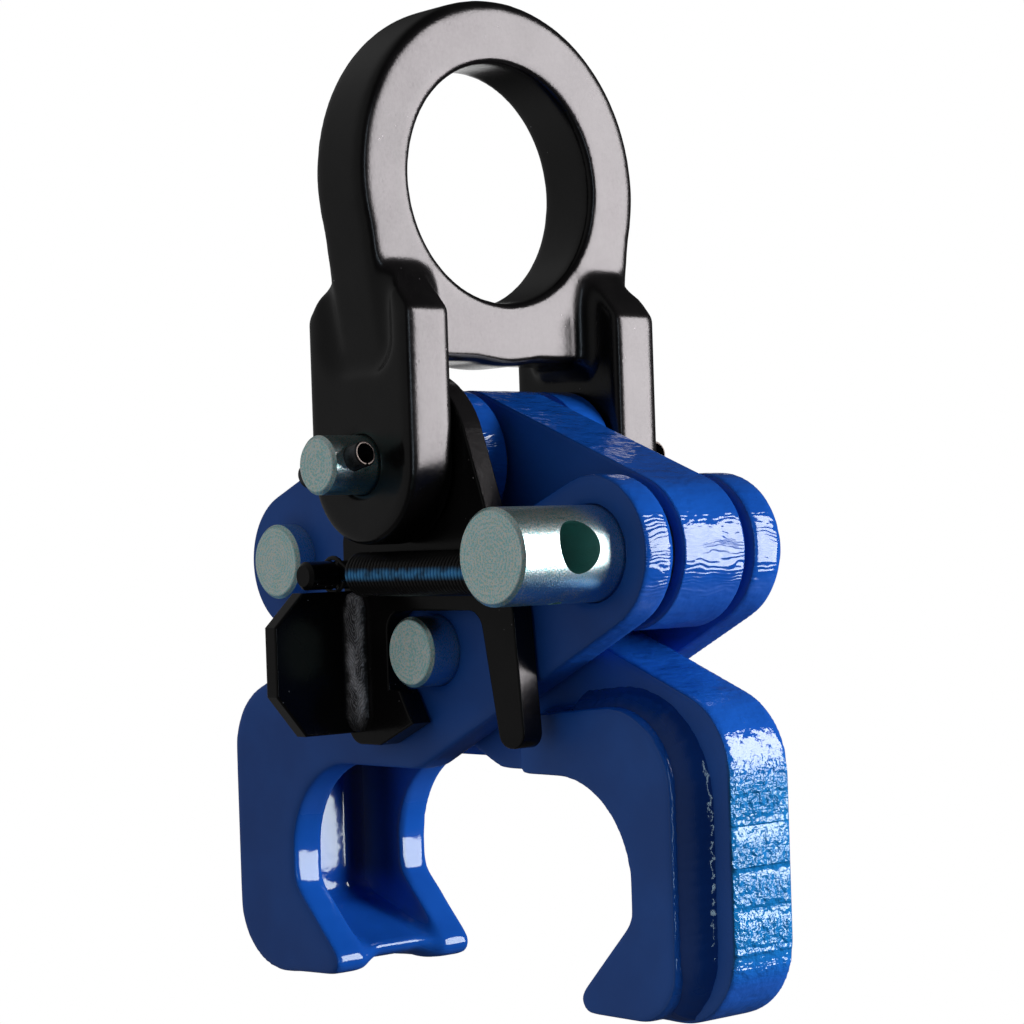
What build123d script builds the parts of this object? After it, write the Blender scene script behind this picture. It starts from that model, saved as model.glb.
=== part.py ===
"""Rail lifting clamp: scissor tongs with a forged bail and a spring-held open lock.

X runs across the rail, Y along the rail and the pivot pins, Z is up.  The origin is the centre of
the lifting eye, so everything hangs below it.  Lengths are millimetres, angles are degrees.
"""
import math
import os

from build123d import *

# Scissor linkage: four equal centre distances between the top, side and centre pins.
LINK_LENGTH = 60.0
OPEN_ANGLE = 22.0
CLOSE_TRAVEL = 15.0
EYE_RADIUS = 18.0
SIDE_PLATE = 10.0
MIDDLE_PLATE = 20.0
SIDE_GAP = 2.5
PLATE_EDGE_ROUND = 0.8

# Fits.
RUNNING_CLEARANCE = 0.06
PRESS_CLEARANCE = 0.02
WASHER_FLOAT = 0.05
WASHER_BORE_CLEARANCE = 0.3
WASHER_RIM_SETBACK = 3.0

# Pins.
SHACKLE_PIN_DIAMETER = 14.0
SHACKLE_PIN_OVERHANG = 12.8
LEFT_PIN_DIAMETER = 19.0
LEFT_PIN_OVERHANG = 5.8
CENTRE_PIN_DIAMETER = 17.0
CENTRE_PIN_OVERHANG = 7.8
SPRING_PIN_DIAMETER = 22.0
SPRING_PIN_OVERHANG = 29.5
REAR_PIN_OVERHANG = 1.5
PIN_END_CHAMFER = 0.9
ROLL_PIN_DIAMETER = 6.0
ROLL_PIN_LENGTH = 23.0
ROLL_PIN_WALL = 1.2
ROLL_PIN_SLIT = 0.8
ROLL_PIN_INSET = 6.0
ROLL_PIN_TURN = 11.5

# Bail: a forged lifting ring on two ears.
BAIL_RISE = 68.0
RING_HOLE_RADIUS = 29.0
RING_RADIUS = 44.5
RING_THICKNESS = 18.0
RING_EDGE_ROUND = 2.2
RING_HOLE_ROUND = 1.5
EAR_THICKNESS = 14.0
EAR_WIDTH = 38.0
EAR_SHOULDER_HEIGHT = 36.0
SHOULDER_TOP_HEIGHT = 47.0
CROSSBAR_HEIGHT = 24.5
WAIST_HALF = 41.2
WAIST_HEIGHT = 44.0
WAIST_ROUND = 10.0
EAR_POCKET_WIDTH = 26.0
EAR_POCKET_DEPTH = 2.4
EAR_POCKET_FOOT = 21.0
EAR_POCKET_ROUND = 8.0
EAR_EDGE_ROUND = 1.6

# Lock plate beside the front links.
LOCK_THICKNESS = 6.0
LOCK_GAP = 0.6
REAR_GAP = 0.8
LOCK_HEAD_RADIUS = 22.5
LOCK_EDGE_ROUND = 0.5
LOCK_LEFT = 26.4
LOCK_LEFT_TOP = 27.0
LOCK_BOTTOM = 23.0
LOCK_RIGHT_TOP = (36.5, 10.0)
LOCK_LIMB_RIGHT = 39.3
LOCK_LIMB_LEFT_TOP = 24.6
LOCK_LIMB_LEFT_BOTTOM = 30.8
LOCK_LIMB_END = 22.0
LOCK_LIMB_ROUND = 3.8
NOTCH_LEFT_GAP = 1.4
NOTCH_TOP_GAP = 1.4
NOTCH_ROUND = 5.0
HOOK_GAP = 0.8
HOOK_TIP_X = 8.5
HOOK_TIP_Z = 13.0
HOOK_ROOT_X = 14.0

# Thumb plate, spring post and spring on the lock plate.
THUMB_THICKNESS = 4.5
THUMB_REACH = 24.6
THUMB_HEIGHT = 34.9
THUMB_TOP_DROP = 30.1
THUMB_TIP_HEIGHT = 16.8
THUMB_TOP_CHAMFER = 8.5
THUMB_TIP_DROP = 8.0
THUMB_EDGE_ROUND = 0.6
POST_DIAMETER = 7.0
POST_LENGTH = 15.3
POST_GROOVE_DEPTH = 1.2
POST_X = 22.6
SPRING_DROP = 26.0
SPRING_STANDOFF = 5.9
SPRING_OUTER_DIAMETER = 10.8
SPRING_WIRE = 1.2
SPRING_HOOK_LENGTH = 11.0
SPRING_PIN_APPROACH = 1.2
CROSS_HOLE_DIAMETER = 12.0
CROSS_HOLE_TURN = 10.0
ANCHOR_DIAMETER = 3.0
ANCHOR_END_SETBACK = 0.6
HOOK_EYE_CLEARANCE = 0.4

# Jaws, measured from the centre pin: outward distances along X, drops along Z.
JAW_OUTER = 85.0
JAW_DROP = 85.5
JAW_TOP_CORNER_ROUND = 19.0
JAW_BOTTOM_CORNER_ROUND = 18.0
THROAT_DROP = 29.2
THROAT_INNER = 8.0
THROAT_ROUND = 24.0
HOLLOW_OUT = 60.2
HOLLOW_DROP = 60.8
HOLLOW_ROUND = 6.5
TIP_IN = 38.8
TIP_RISE = 2.5
TIP_ROUND = 3.4
HUB_ROUND = 10.0
CHEEK_THICKNESS = 7.8
CHEEK_INSET = 10.7
CHEEK_TOP_DROP = 10.4
CHEEK_TOP_SLOPE = 5.0
CHEEK_INNER = 24.0
CHEEK_BOTTOM_SETBACK = 1.8
CHEEK_TOP_ROUND = 20.0
CHEEK_BOTTOM_ROUND = 13.0
CHEEK_INNER_ROUND = 5.0
WELD_LEG = 4.0
WELD_CREST = 0.8
WELD_START_SETBACK = 8.0
WALL_THICKNESS = 10.0
WALL_SETBACK = 1.0
WALL_TOP_DROP = 27.0
LIP_THICKNESS = 8.0
LIP_SETBACK = 1.5
LIP_HEEL_RISE = 21.5
LIP_END_RISE = 5.2
BOX_FLOAT = 0.05
RECESS_WELD_LEG = 5.0

# Ends of the left jaw's floor below the centre pin.
LIP_HEEL_DROP = JAW_DROP - LIP_HEEL_RISE
LIP_END_DROP = JAW_DROP - LIP_END_RISE

# Linkage places in X and Z.
SPAN_X = LINK_LENGTH * math.cos(math.radians(OPEN_ANGLE))
SPAN_Z = LINK_LENGTH * math.sin(math.radians(OPEN_ANGLE))
TOP = (0.0, -BAIL_RISE)
LEFT = (-SPAN_X, TOP[1] - SPAN_Z)
RIGHT = (SPAN_X, TOP[1] - SPAN_Z)
CENTRE = (0.0, TOP[1] - 2 * SPAN_Z)

# Layers along Y, front to rear.
FRONT_SPACE = LOCK_THICKNESS + 2 * LOCK_GAP
STACK = MIDDLE_PLATE + 2 * SIDE_GAP + 2 * SIDE_PLATE
EAR_INSIDE = (STACK + FRONT_SPACE + REAR_GAP) / 2
EAR_OUTSIDE = EAR_INSIDE + EAR_THICKNESS
MID_Y = (FRONT_SPACE - REAR_GAP) / 2
FRONT_FACE = MID_Y - STACK / 2
REAR_FACE = MID_Y + STACK / 2
MIDDLE_FRONT = MID_Y - MIDDLE_PLATE / 2
MIDDLE_REAR = MID_Y + MIDDLE_PLATE / 2
REAR_PLATE_FRONT = REAR_FACE - SIDE_PLATE
LOCK_FRONT = FRONT_FACE - LOCK_GAP - LOCK_THICKNESS
SPRING_Y = LOCK_FRONT - SPRING_STANDOFF
SPRING_Z = TOP[1] - SPRING_DROP
SPRING_COIL_START = -POST_X + SPRING_HOOK_LENGTH
SPRING_COIL_END = RIGHT[0] - SPRING_PIN_DIAMETER / 2 - SPRING_PIN_APPROACH


def facing(y):
    """Sketch plane at depth y that looks out of the front: local x is X and local y is Z."""
    return Plane(origin=(0, y, 0), x_dir=(1, 0, 0), z_dir=(0, -1, 0))


def plate(outline, y_front, thickness):
    """A flat plate of the outline, from y_front backwards."""
    return extrude(facing(y_front) * outline, amount=-thickness)


def rod(place, radius, y_front, y_rear):
    """A round bar along Y through a place in X and Z."""
    return plate(Pos(*place) * Circle(radius), y_front, y_rear - y_front)


def bore(part, place, radius):
    """The part with a through hole along Y."""
    box = part.bounding_box()
    return part - rod(place, radius, box.min.Y - radius, box.max.Y + radius)


def rounded(corners):
    """A closed outline from (x, z, radius) corners."""
    face = make_face(Polyline(*[(x, z) for x, z, _ in corners], close=True))
    for x, z, radius in corners:
        if radius > 0:
            face = fillet(face.vertices().sort_by_distance((x, z, 0))[0], radius)
    return face


def break_rim(part, radius):
    """The part with the outer rims of its largest flat faces along Y rounded."""
    faces = part.faces().filter_by(Axis.Y).sort_by(SortBy.AREA)[-2:]
    rims = [edge for face in faces for edge in face.outer_wire().edges()]
    return fillet(rims, radius)


def link_outline(start, end):
    """A straight link between two eyes."""
    middle = ((start[0] + end[0]) / 2, (start[1] + end[1]) / 2)
    length = math.dist(start, end)
    turn = math.degrees(math.atan2(end[1] - start[1], end[0] - start[0]))
    return Pos(*middle) * Rot(0, 0, turn) * SlotCenterToCenter(length, 2 * EYE_RADIUS)


def tangent_below(outside, centre, radius):
    """Where the lower tangent from an outside point touches a circle to its upper right."""
    dx, dz = centre[0] - outside[0], centre[1] - outside[1]
    heading = math.atan2(dz, dx)
    spread = math.asin(radius / math.hypot(dx, dz))
    touch = heading - spread - math.pi / 2
    return centre[0] + radius * math.cos(touch), centre[1] + radius * math.sin(touch)


def throat_corners(bottom):
    """The corners around the rail head on the left jaw, from the tip up to the throat."""
    lip_run = (HOLLOW_OUT - TIP_IN) / (JAW_DROP - TIP_RISE - HOLLOW_DROP)
    tip_out = HOLLOW_OUT - lip_run * (bottom - HOLLOW_DROP)
    return [
        (-tip_out, CENTRE[1] - bottom, TIP_ROUND),
        (-HOLLOW_OUT, CENTRE[1] - HOLLOW_DROP, HOLLOW_ROUND),
        (-HOLLOW_OUT, CENTRE[1] - THROAT_DROP, THROAT_ROUND),
    ]


def jaw_outline():
    """The left jaw's plate: right eye, hub around the centre pin, and the hooked jaw."""
    lean = math.radians(OPEN_ANGLE)
    over_eye = (RIGHT[0] - EYE_RADIUS * math.sin(lean), RIGHT[1] + EYE_RADIUS * math.cos(lean))
    shoulder_z = over_eye[1] - (over_eye[0] + JAW_OUTER) * math.tan(lean)
    hub = (-THROAT_INNER, CENTRE[1] - THROAT_DROP)
    under_eye = tangent_below(hub, RIGHT, EYE_RADIUS)
    corners = [
        (*over_eye, 0),
        (-JAW_OUTER, shoulder_z, JAW_TOP_CORNER_ROUND),
        (-JAW_OUTER, CENTRE[1] - JAW_DROP, JAW_BOTTOM_CORNER_ROUND),
        *throat_corners(JAW_DROP - TIP_RISE),
        (*hub, HUB_ROUND),
        (*under_eye, 0),
    ]
    return rounded(corners) + Pos(*RIGHT) * Circle(EYE_RADIUS)


def mirrored(outline):
    """An outline on the other side of the clamp."""
    return mirror(outline, about=Plane.YZ)


def cheek_outline(grow=0.0, trim=0.0):
    """The right jaw's cheek, grown over its outer edge and trimmed at its inner end for the weld."""
    outer = JAW_OUTER - CHEEK_INSET + grow
    inner = CHEEK_INNER + trim
    bottom = JAW_DROP - CHEEK_BOTTOM_SETBACK
    top = CENTRE[1] - CHEEK_TOP_DROP + grow
    inner_top = top - CHEEK_TOP_SLOPE * (outer - inner) / (outer - CHEEK_INNER)
    corners = [
        (-inner, CENTRE[1] - THROAT_DROP, 0),
        (-inner, inner_top, CHEEK_INNER_ROUND),
        (-outer, top, CHEEK_TOP_ROUND + grow),
        (-outer, CENTRE[1] - bottom, CHEEK_BOTTOM_ROUND),
        *throat_corners(bottom),
    ]
    return mirrored(rounded(corners))


def pin(place, diameter, y_front, y_rear):
    """A turned pin along Y with chamfered ends."""
    body = rod(place, diameter / 2, y_front, y_rear)
    ends = body.faces().filter_by(Axis.Y).edges()
    return chamfer(ends, PIN_END_CHAMFER)


def washer_pair(place, pin_diameter):
    """The two spacer washers that fill the gaps between the middle plate and its side plates."""
    ring = Circle(EYE_RADIUS - WASHER_RIM_SETBACK) - Circle(pin_diameter / 2 + WASHER_BORE_CLEARANCE)
    thickness = SIDE_GAP - 2 * WASHER_FLOAT
    front = plate(Pos(*place) * ring, MIDDLE_FRONT - SIDE_GAP + WASHER_FLOAT, thickness)
    rear = plate(Pos(*place) * ring, MIDDLE_REAR + WASHER_FLOAT, thickness)
    return [front, rear]


def make_bail():
    """Forged ring with a crossbar, two wide ears and 45 degree shoulders."""
    side = Plane.YZ
    crossbar_z = TOP[1] + CROSSBAR_HEIGHT
    leg_foot = EAR_OUTSIDE - EAR_POCKET_DEPTH
    ring_face = Circle(RING_RADIUS)
    skirt = rounded([
        (-RING_RADIUS, 0, 0),
        (-WAIST_HALF, TOP[1] + WAIST_HEIGHT, WAIST_ROUND),
        (-leg_foot, crossbar_z, 0),
        (leg_foot, crossbar_z, 0),
        (WAIST_HALF, TOP[1] + WAIST_HEIGHT, WAIST_ROUND),
        (RING_RADIUS, 0, 0),
    ])
    hole = Circle(RING_HOLE_RADIUS)
    ring = extrude(side * (ring_face + skirt - hole), amount=RING_THICKNESS / 2, both=True)
    rims = ring.faces().filter_by(Axis.X)
    ring = fillet([edge for face in rims for edge in face.outer_wire().edges()], RING_EDGE_ROUND)
    circles = ring.edges().filter_by(GeomType.CIRCLE)
    hole_edges = [edge for edge in circles if math.isclose(edge.radius, RING_HOLE_RADIUS)]
    ring = fillet(hole_edges, RING_HOLE_ROUND)
    half = EAR_WIDTH / 2
    ear_face = rounded([
        (-half, TOP[1], 0),
        (-half, TOP[1] + EAR_SHOULDER_HEIGHT, 0),
        (-RING_THICKNESS / 2, TOP[1] + SHOULDER_TOP_HEIGHT, 0),
        (RING_THICKNESS / 2, TOP[1] + SHOULDER_TOP_HEIGHT, 0),
        (half, TOP[1] + EAR_SHOULDER_HEIGHT, 0),
        (half, TOP[1], 0),
    ]) + Pos(*TOP) * Circle(half)
    bail = ring
    for y_front, pocket_front in ((-EAR_OUTSIDE, -EAR_OUTSIDE), (EAR_INSIDE, leg_foot)):
        ear = break_rim(plate(ear_face, y_front, EAR_THICKNESS), EAR_EDGE_ROUND)
        bail += ear - ear_pocket(pocket_front)
    return bore(bail, TOP, SHACKLE_PIN_DIAMETER / 2 + RUNNING_CLEARANCE)


def ear_pocket(y_front):
    """Shallow hollow in an ear's outer face that takes the ring's side down into the ear."""
    half = EAR_POCKET_WIDTH / 2
    foot = TOP[1] + EAR_POCKET_FOOT
    top = TOP[1] + SHOULDER_TOP_HEIGHT
    outline = rounded([
        (-half, top, 0),
        (-half, foot, EAR_POCKET_ROUND),
        (half, foot, EAR_POCKET_ROUND),
        (half, top, 0),
    ])
    return plate(outline, y_front, EAR_POCKET_DEPTH)


def roll_pin_places():
    """Depths of the two roll pins that hold the shackle pin."""
    reach = EAR_OUTSIDE + SHACKLE_PIN_OVERHANG - ROLL_PIN_INSET
    return [-reach, reach]


def cross_bar(y, z, radius, length, x_middle=0.0):
    """A round bar along X."""
    start = Plane(origin=(x_middle - length / 2, y, z), x_dir=(0, 1, 0), z_dir=(1, 0, 0))
    return extrude(start * Circle(radius), amount=length)


def raised(part, place, turn):
    """A part turned about an axis along Y so that its right end comes up."""
    x, z = place
    return Pos(x, 0, z) * Rot(0, -turn, 0) * Pos(-x, 0, -z) * part


def make_shackle_pin():
    """Top pin through both ears with a cross hole near each end."""
    reach = EAR_OUTSIDE + SHACKLE_PIN_OVERHANG
    body = pin(TOP, SHACKLE_PIN_DIAMETER, -reach, reach)
    for y in roll_pin_places():
        hole = cross_bar(y, TOP[1], ROLL_PIN_DIAMETER / 2 + PRESS_CLEARANCE, 2 * SHACKLE_PIN_DIAMETER)
        body -= raised(hole, TOP, ROLL_PIN_TURN)
    return body


def make_roll_pins():
    """Two slit spring pins."""
    pins = []
    for y in roll_pin_places():
        tube = cross_bar(y, TOP[1], ROLL_PIN_DIAMETER / 2, ROLL_PIN_LENGTH)
        tube -= cross_bar(y, TOP[1], ROLL_PIN_DIAMETER / 2 - ROLL_PIN_WALL, ROLL_PIN_LENGTH)
        slit = Box(ROLL_PIN_LENGTH, ROLL_PIN_SLIT, ROLL_PIN_DIAMETER)
        tube -= Pos(0, y, TOP[1] - ROLL_PIN_DIAMETER / 2) * slit
        pins.append(raised(tube, TOP, ROLL_PIN_TURN))
    return Compound(pins)


def make_link(start, end, y_front, thickness, start_radius, end_radius):
    """A link plate with a bore at each eye."""
    body = break_rim(plate(link_outline(start, end), y_front, thickness), PLATE_EDGE_ROUND)
    return bore(bore(body, start, start_radius), end, end_radius)


def make_spring_pin():
    """Large right pin: a cross hole takes the spring's hook, a small pin through it holds the hook."""
    body = pin(RIGHT, SPRING_PIN_DIAMETER, FRONT_FACE - SPRING_PIN_OVERHANG, REAR_FACE + REAR_PIN_OVERHANG)
    hole = cross_bar(SPRING_Y, RIGHT[1], CROSS_HOLE_DIAMETER / 2, 2 * SPRING_PIN_DIAMETER, RIGHT[0])
    hole += Pos(RIGHT[0], SPRING_Y, RIGHT[1]) * Cylinder(
        ANCHOR_DIAMETER / 2 + PRESS_CLEARANCE, SPRING_PIN_DIAMETER)
    return body - raised(hole, RIGHT, CROSS_HOLE_TURN)


def make_spring_anchor():
    """Small pin across the spring pin's hole, square to it."""
    length = SPRING_PIN_DIAMETER - 2 * ANCHOR_END_SETBACK
    upright = Pos(RIGHT[0], SPRING_Y, RIGHT[1]) * Cylinder(ANCHOR_DIAMETER / 2, length)
    return raised(upright, RIGHT, CROSS_HOLE_TURN)


def make_jaw_plate(outline, y_front, thickness, eye, eye_radius, centre_radius):
    """A jaw plate with bores for its eye pin and the centre pin."""
    body = break_rim(plate(outline, y_front, thickness), PLATE_EDGE_ROUND)
    return bore(bore(body, eye, eye_radius), CENTRE, centre_radius)


def make_cheek(y_front):
    """One cheek plate of the right jaw."""
    return break_rim(plate(cheek_outline(), y_front, CHEEK_THICKNESS), PLATE_EDGE_ROUND)


def make_cheek_weld(y_front, crest_y):
    """Fillet weld between a cheek's outer edge and the main plate, sloped on its outer side."""
    core = plate(cheek_outline(), y_front, WELD_LEG)
    bead = plate(cheek_outline(WELD_LEG, WELD_START_SETBACK), y_front, WELD_LEG)
    top_edges = bead.edges().filter_by_position(Axis.Y, crest_y, crest_y)
    crest = [edge for edge in top_edges if edge.distance_to(core) > WELD_LEG / 2]
    return chamfer(crest, WELD_LEG - WELD_CREST) - core


def make_back_wall():
    """Wall that closes the left jaw's box along its outer edge."""
    outer = -JAW_OUTER + WALL_SETBACK
    inner = -JAW_OUTER + WALL_SETBACK + WALL_THICKNESS
    outline = make_face(Polyline(
        (outer, CENTRE[1] - WALL_TOP_DROP), (inner, CENTRE[1] - WALL_TOP_DROP),
        (inner, CENTRE[1] - LIP_HEEL_DROP), (outer, CENTRE[1] - LIP_HEEL_DROP), close=True))
    return box_filler(outline)


def make_lip():
    """Floor of the left jaw's box, from under the wall to a round nose just behind the tips."""
    outer = -JAW_OUTER + WALL_SETBACK
    heel = CENTRE[1] - LIP_HEEL_DROP - BOX_FLOAT
    end = CENTRE[1] - LIP_END_DROP - BOX_FLOAT
    outline = make_face(Polyline(
        (outer, heel), (-TIP_IN, end), (-TIP_IN, end - LIP_THICKNESS), (outer, heel - LIP_THICKNESS),
        close=True))
    nose = Pos(-LIP_SETBACK, 0) * jaw_outline()
    return box_filler(outline & jaw_outline() & nose)


def box_filler(outline):
    """A piece that fills the space between the left jaw's two plates."""
    width = MIDDLE_PLATE + 2 * SIDE_GAP - 2 * BOX_FLOAT
    return plate(outline, MID_Y - width / 2, width)


def make_recess_welds():
    """Corner welds inside the left jaw, where the wall meets the plates."""
    corner_x = -JAW_OUTER + WALL_SETBACK + WALL_THICKNESS
    height = LIP_HEEL_DROP - WALL_TOP_DROP
    middle = CENTRE[1] - (LIP_HEEL_DROP + WALL_TOP_DROP) / 2
    beads = []
    for heading in (-1, 1):
        y = MID_Y + heading * (MIDDLE_PLATE / 2 + SIDE_GAP)
        corner = make_face(Polyline(
            (corner_x, y), (corner_x + RECESS_WELD_LEG, y),
            (corner_x, y - heading * RECESS_WELD_LEG), close=True))
        beads.append(extrude(Pos(0, 0, middle - height / 2) * corner, amount=height))
    return Compound(beads)


def pin_place(turn):
    """Where the centre pin stands in the lock plate's frame when the jaws have closed by an angle."""
    reach = 2 * LINK_LENGTH * math.sin(math.radians(OPEN_ANGLE + turn))
    swing = math.radians(turn)
    return reach * math.sin(swing), TOP[1] - reach * math.cos(swing)


def pin_sweep():
    """The room that the centre pin needs beside the hook while the jaws close."""
    path = ThreePointArc(pin_place(0), pin_place(CLOSE_TRAVEL / 2), pin_place(CLOSE_TRAVEL))
    return SlotArc(path, CENTRE_PIN_DIAMETER + 2 * HOOK_GAP)


def lock_outline():
    """Lock plate: round head on the top pin, hook left of the centre pin, guard limb right of it."""
    z = CENTRE[1]
    pin_radius = CENTRE_PIN_DIAMETER / 2
    notch_left = -pin_radius - NOTCH_LEFT_GAP
    notch_top = z + pin_radius + NOTCH_TOP_GAP
    hook_top = z - pin_radius - HOOK_GAP
    right_top = (LOCK_RIGHT_TOP[0], z + LOCK_RIGHT_TOP[1])
    head_side = tangent_point(right_top, TOP, LOCK_HEAD_RADIUS)
    corners = [
        (*head_side, 0),
        (*right_top, LOCK_LIMB_ROUND),
        (LOCK_LIMB_RIGHT, z - LOCK_LIMB_END, LOCK_LIMB_ROUND),
        (LOCK_LIMB_LEFT_BOTTOM, z - LOCK_LIMB_END, LOCK_LIMB_ROUND),
        (LOCK_LIMB_LEFT_TOP, notch_top, NOTCH_ROUND),
        (notch_left, notch_top, NOTCH_ROUND),
        (notch_left, hook_top, 0),
        (HOOK_TIP_X, hook_top, 0),
        (HOOK_TIP_X, z - HOOK_TIP_Z, 0),
        (-HOOK_ROOT_X, z - LOCK_BOTTOM, NOTCH_ROUND),
        (-LOCK_LEFT, z - LOCK_BOTTOM, NOTCH_ROUND),
        (-LOCK_LEFT, z + LOCK_LEFT_TOP, NOTCH_ROUND),
        (-LOCK_HEAD_RADIUS, TOP[1], 0),
    ]
    return rounded(corners) + Pos(*TOP) * Circle(LOCK_HEAD_RADIUS) - pin_sweep()


def tangent_point(outside, centre, radius):
    """Where the right-hand tangent from a point below touches a circle."""
    dx, dz = outside[0] - centre[0], outside[1] - centre[1]
    heading = math.atan2(dz, dx)
    spread = math.acos(radius / math.hypot(dx, dz))
    return centre[0] + radius * math.cos(heading + spread), centre[1] + radius * math.sin(heading + spread)


def make_lock_plate():
    """Lock plate with its bore on the top pin."""
    body = break_rim(plate(lock_outline(), LOCK_FRONT, LOCK_THICKNESS), LOCK_EDGE_ROUND)
    return bore(body, TOP, SHACKLE_PIN_DIAMETER / 2 + RUNNING_CLEARANCE)


def make_thumb_plate():
    """Chamfered plate that stands out of the lock plate's left edge for the thumb."""
    top = TOP[1] - THUMB_TOP_DROP
    bottom = top - THUMB_HEIGHT
    tip_y = LOCK_FRONT - THUMB_REACH
    tip_top = top - THUMB_TIP_DROP
    outline = make_face(Polyline(
        (LOCK_FRONT, top), (tip_y + THUMB_TOP_CHAMFER, top), (tip_y, tip_top),
        (tip_y, tip_top - THUMB_TIP_HEIGHT), (tip_y + THUMB_TOP_CHAMFER, bottom),
        (LOCK_FRONT, bottom), close=True))
    body = extrude(Plane.YZ.offset(-LOCK_LEFT) * outline, amount=THUMB_THICKNESS)
    sides = body.faces().filter_by(Axis.X)
    free_end = LOCK_FRONT - THUMB_EDGE_ROUND
    rims = [edge for face in sides for edge in face.edges() if edge.center().Y < free_end]
    return fillet(rims, THUMB_EDGE_ROUND)


def make_lock_weld():
    """Fillet weld between the thumb plate and the lock plate."""
    corner_x = -LOCK_LEFT + THUMB_THICKNESS
    top = TOP[1] - THUMB_TOP_DROP
    corner = make_face(Polyline(
        (corner_x, LOCK_FRONT), (corner_x + WELD_LEG, LOCK_FRONT),
        (corner_x, LOCK_FRONT - WELD_LEG), close=True))
    return extrude(Pos(0, 0, top - THUMB_HEIGHT) * corner, amount=THUMB_HEIGHT)


def make_spring_post():
    """Short rod on the lock plate with a groove that holds the spring's left loop."""
    place = (-POST_X, SPRING_Z)
    body = rod(place, POST_DIAMETER / 2, LOCK_FRONT - POST_LENGTH, LOCK_FRONT)
    body = chamfer(body.faces().sort_by(Axis.Y)[0].edges(), PIN_END_CHAMFER)
    width = SPRING_WIRE + 2 * HOOK_EYE_CLEARANCE
    groove = Circle(POST_DIAMETER) - Circle(POST_DIAMETER / 2 - POST_GROOVE_DEPTH)
    return body - plate(Pos(*place) * groove, SPRING_Y - width / 2, width)


def ring_around(place, hole_radius, flat):
    """A closed wire loop around a bar, flat along Y or Z."""
    axis = {"Y": facing(0), "Z": Plane.XY}[flat]
    loop = Torus(hole_radius + SPRING_WIRE / 2, SPRING_WIRE / 2)
    return Pos(*place) * axis.location * loop


def make_spring():
    """Close-wound extension spring: a coil body, a loop on the post and a loop on the small pin."""
    length = SPRING_COIL_END - SPRING_COIL_START
    middle = (SPRING_COIL_START + SPRING_COIL_END) / 2
    outer = SPRING_OUTER_DIAMETER / 2
    coil = cross_bar(SPRING_Y, SPRING_Z, outer, length, middle)
    coil -= cross_bar(SPRING_Y, SPRING_Z, outer - SPRING_WIRE, length - 2 * SPRING_WIRE, middle)
    post_hole = POST_DIAMETER / 2 - POST_GROOVE_DEPTH + HOOK_EYE_CLEARANCE
    anchor_hole = ANCHOR_DIAMETER / 2 + HOOK_EYE_CLEARANCE
    post_loop = ring_around((-POST_X, SPRING_Y, SPRING_Z), post_hole, "Y")
    anchor_x = RIGHT[0] + (RIGHT[1] - SPRING_Z) * math.tan(math.radians(CROSS_HOLE_TURN))
    anchor_loop = ring_around((anchor_x, SPRING_Y, SPRING_Z), anchor_hole, "Z")
    left_run = SPRING_HOOK_LENGTH - post_hole
    right_run = anchor_x - anchor_hole - SPRING_COIL_END
    left_shank = cross_bar(SPRING_Y, SPRING_Z, SPRING_WIRE / 2, left_run, SPRING_COIL_START - left_run / 2)
    right_shank = cross_bar(SPRING_Y, SPRING_Z, SPRING_WIRE / 2, right_run, SPRING_COIL_END + right_run / 2)
    return coil + post_loop + anchor_loop + left_shank + right_shank


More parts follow.
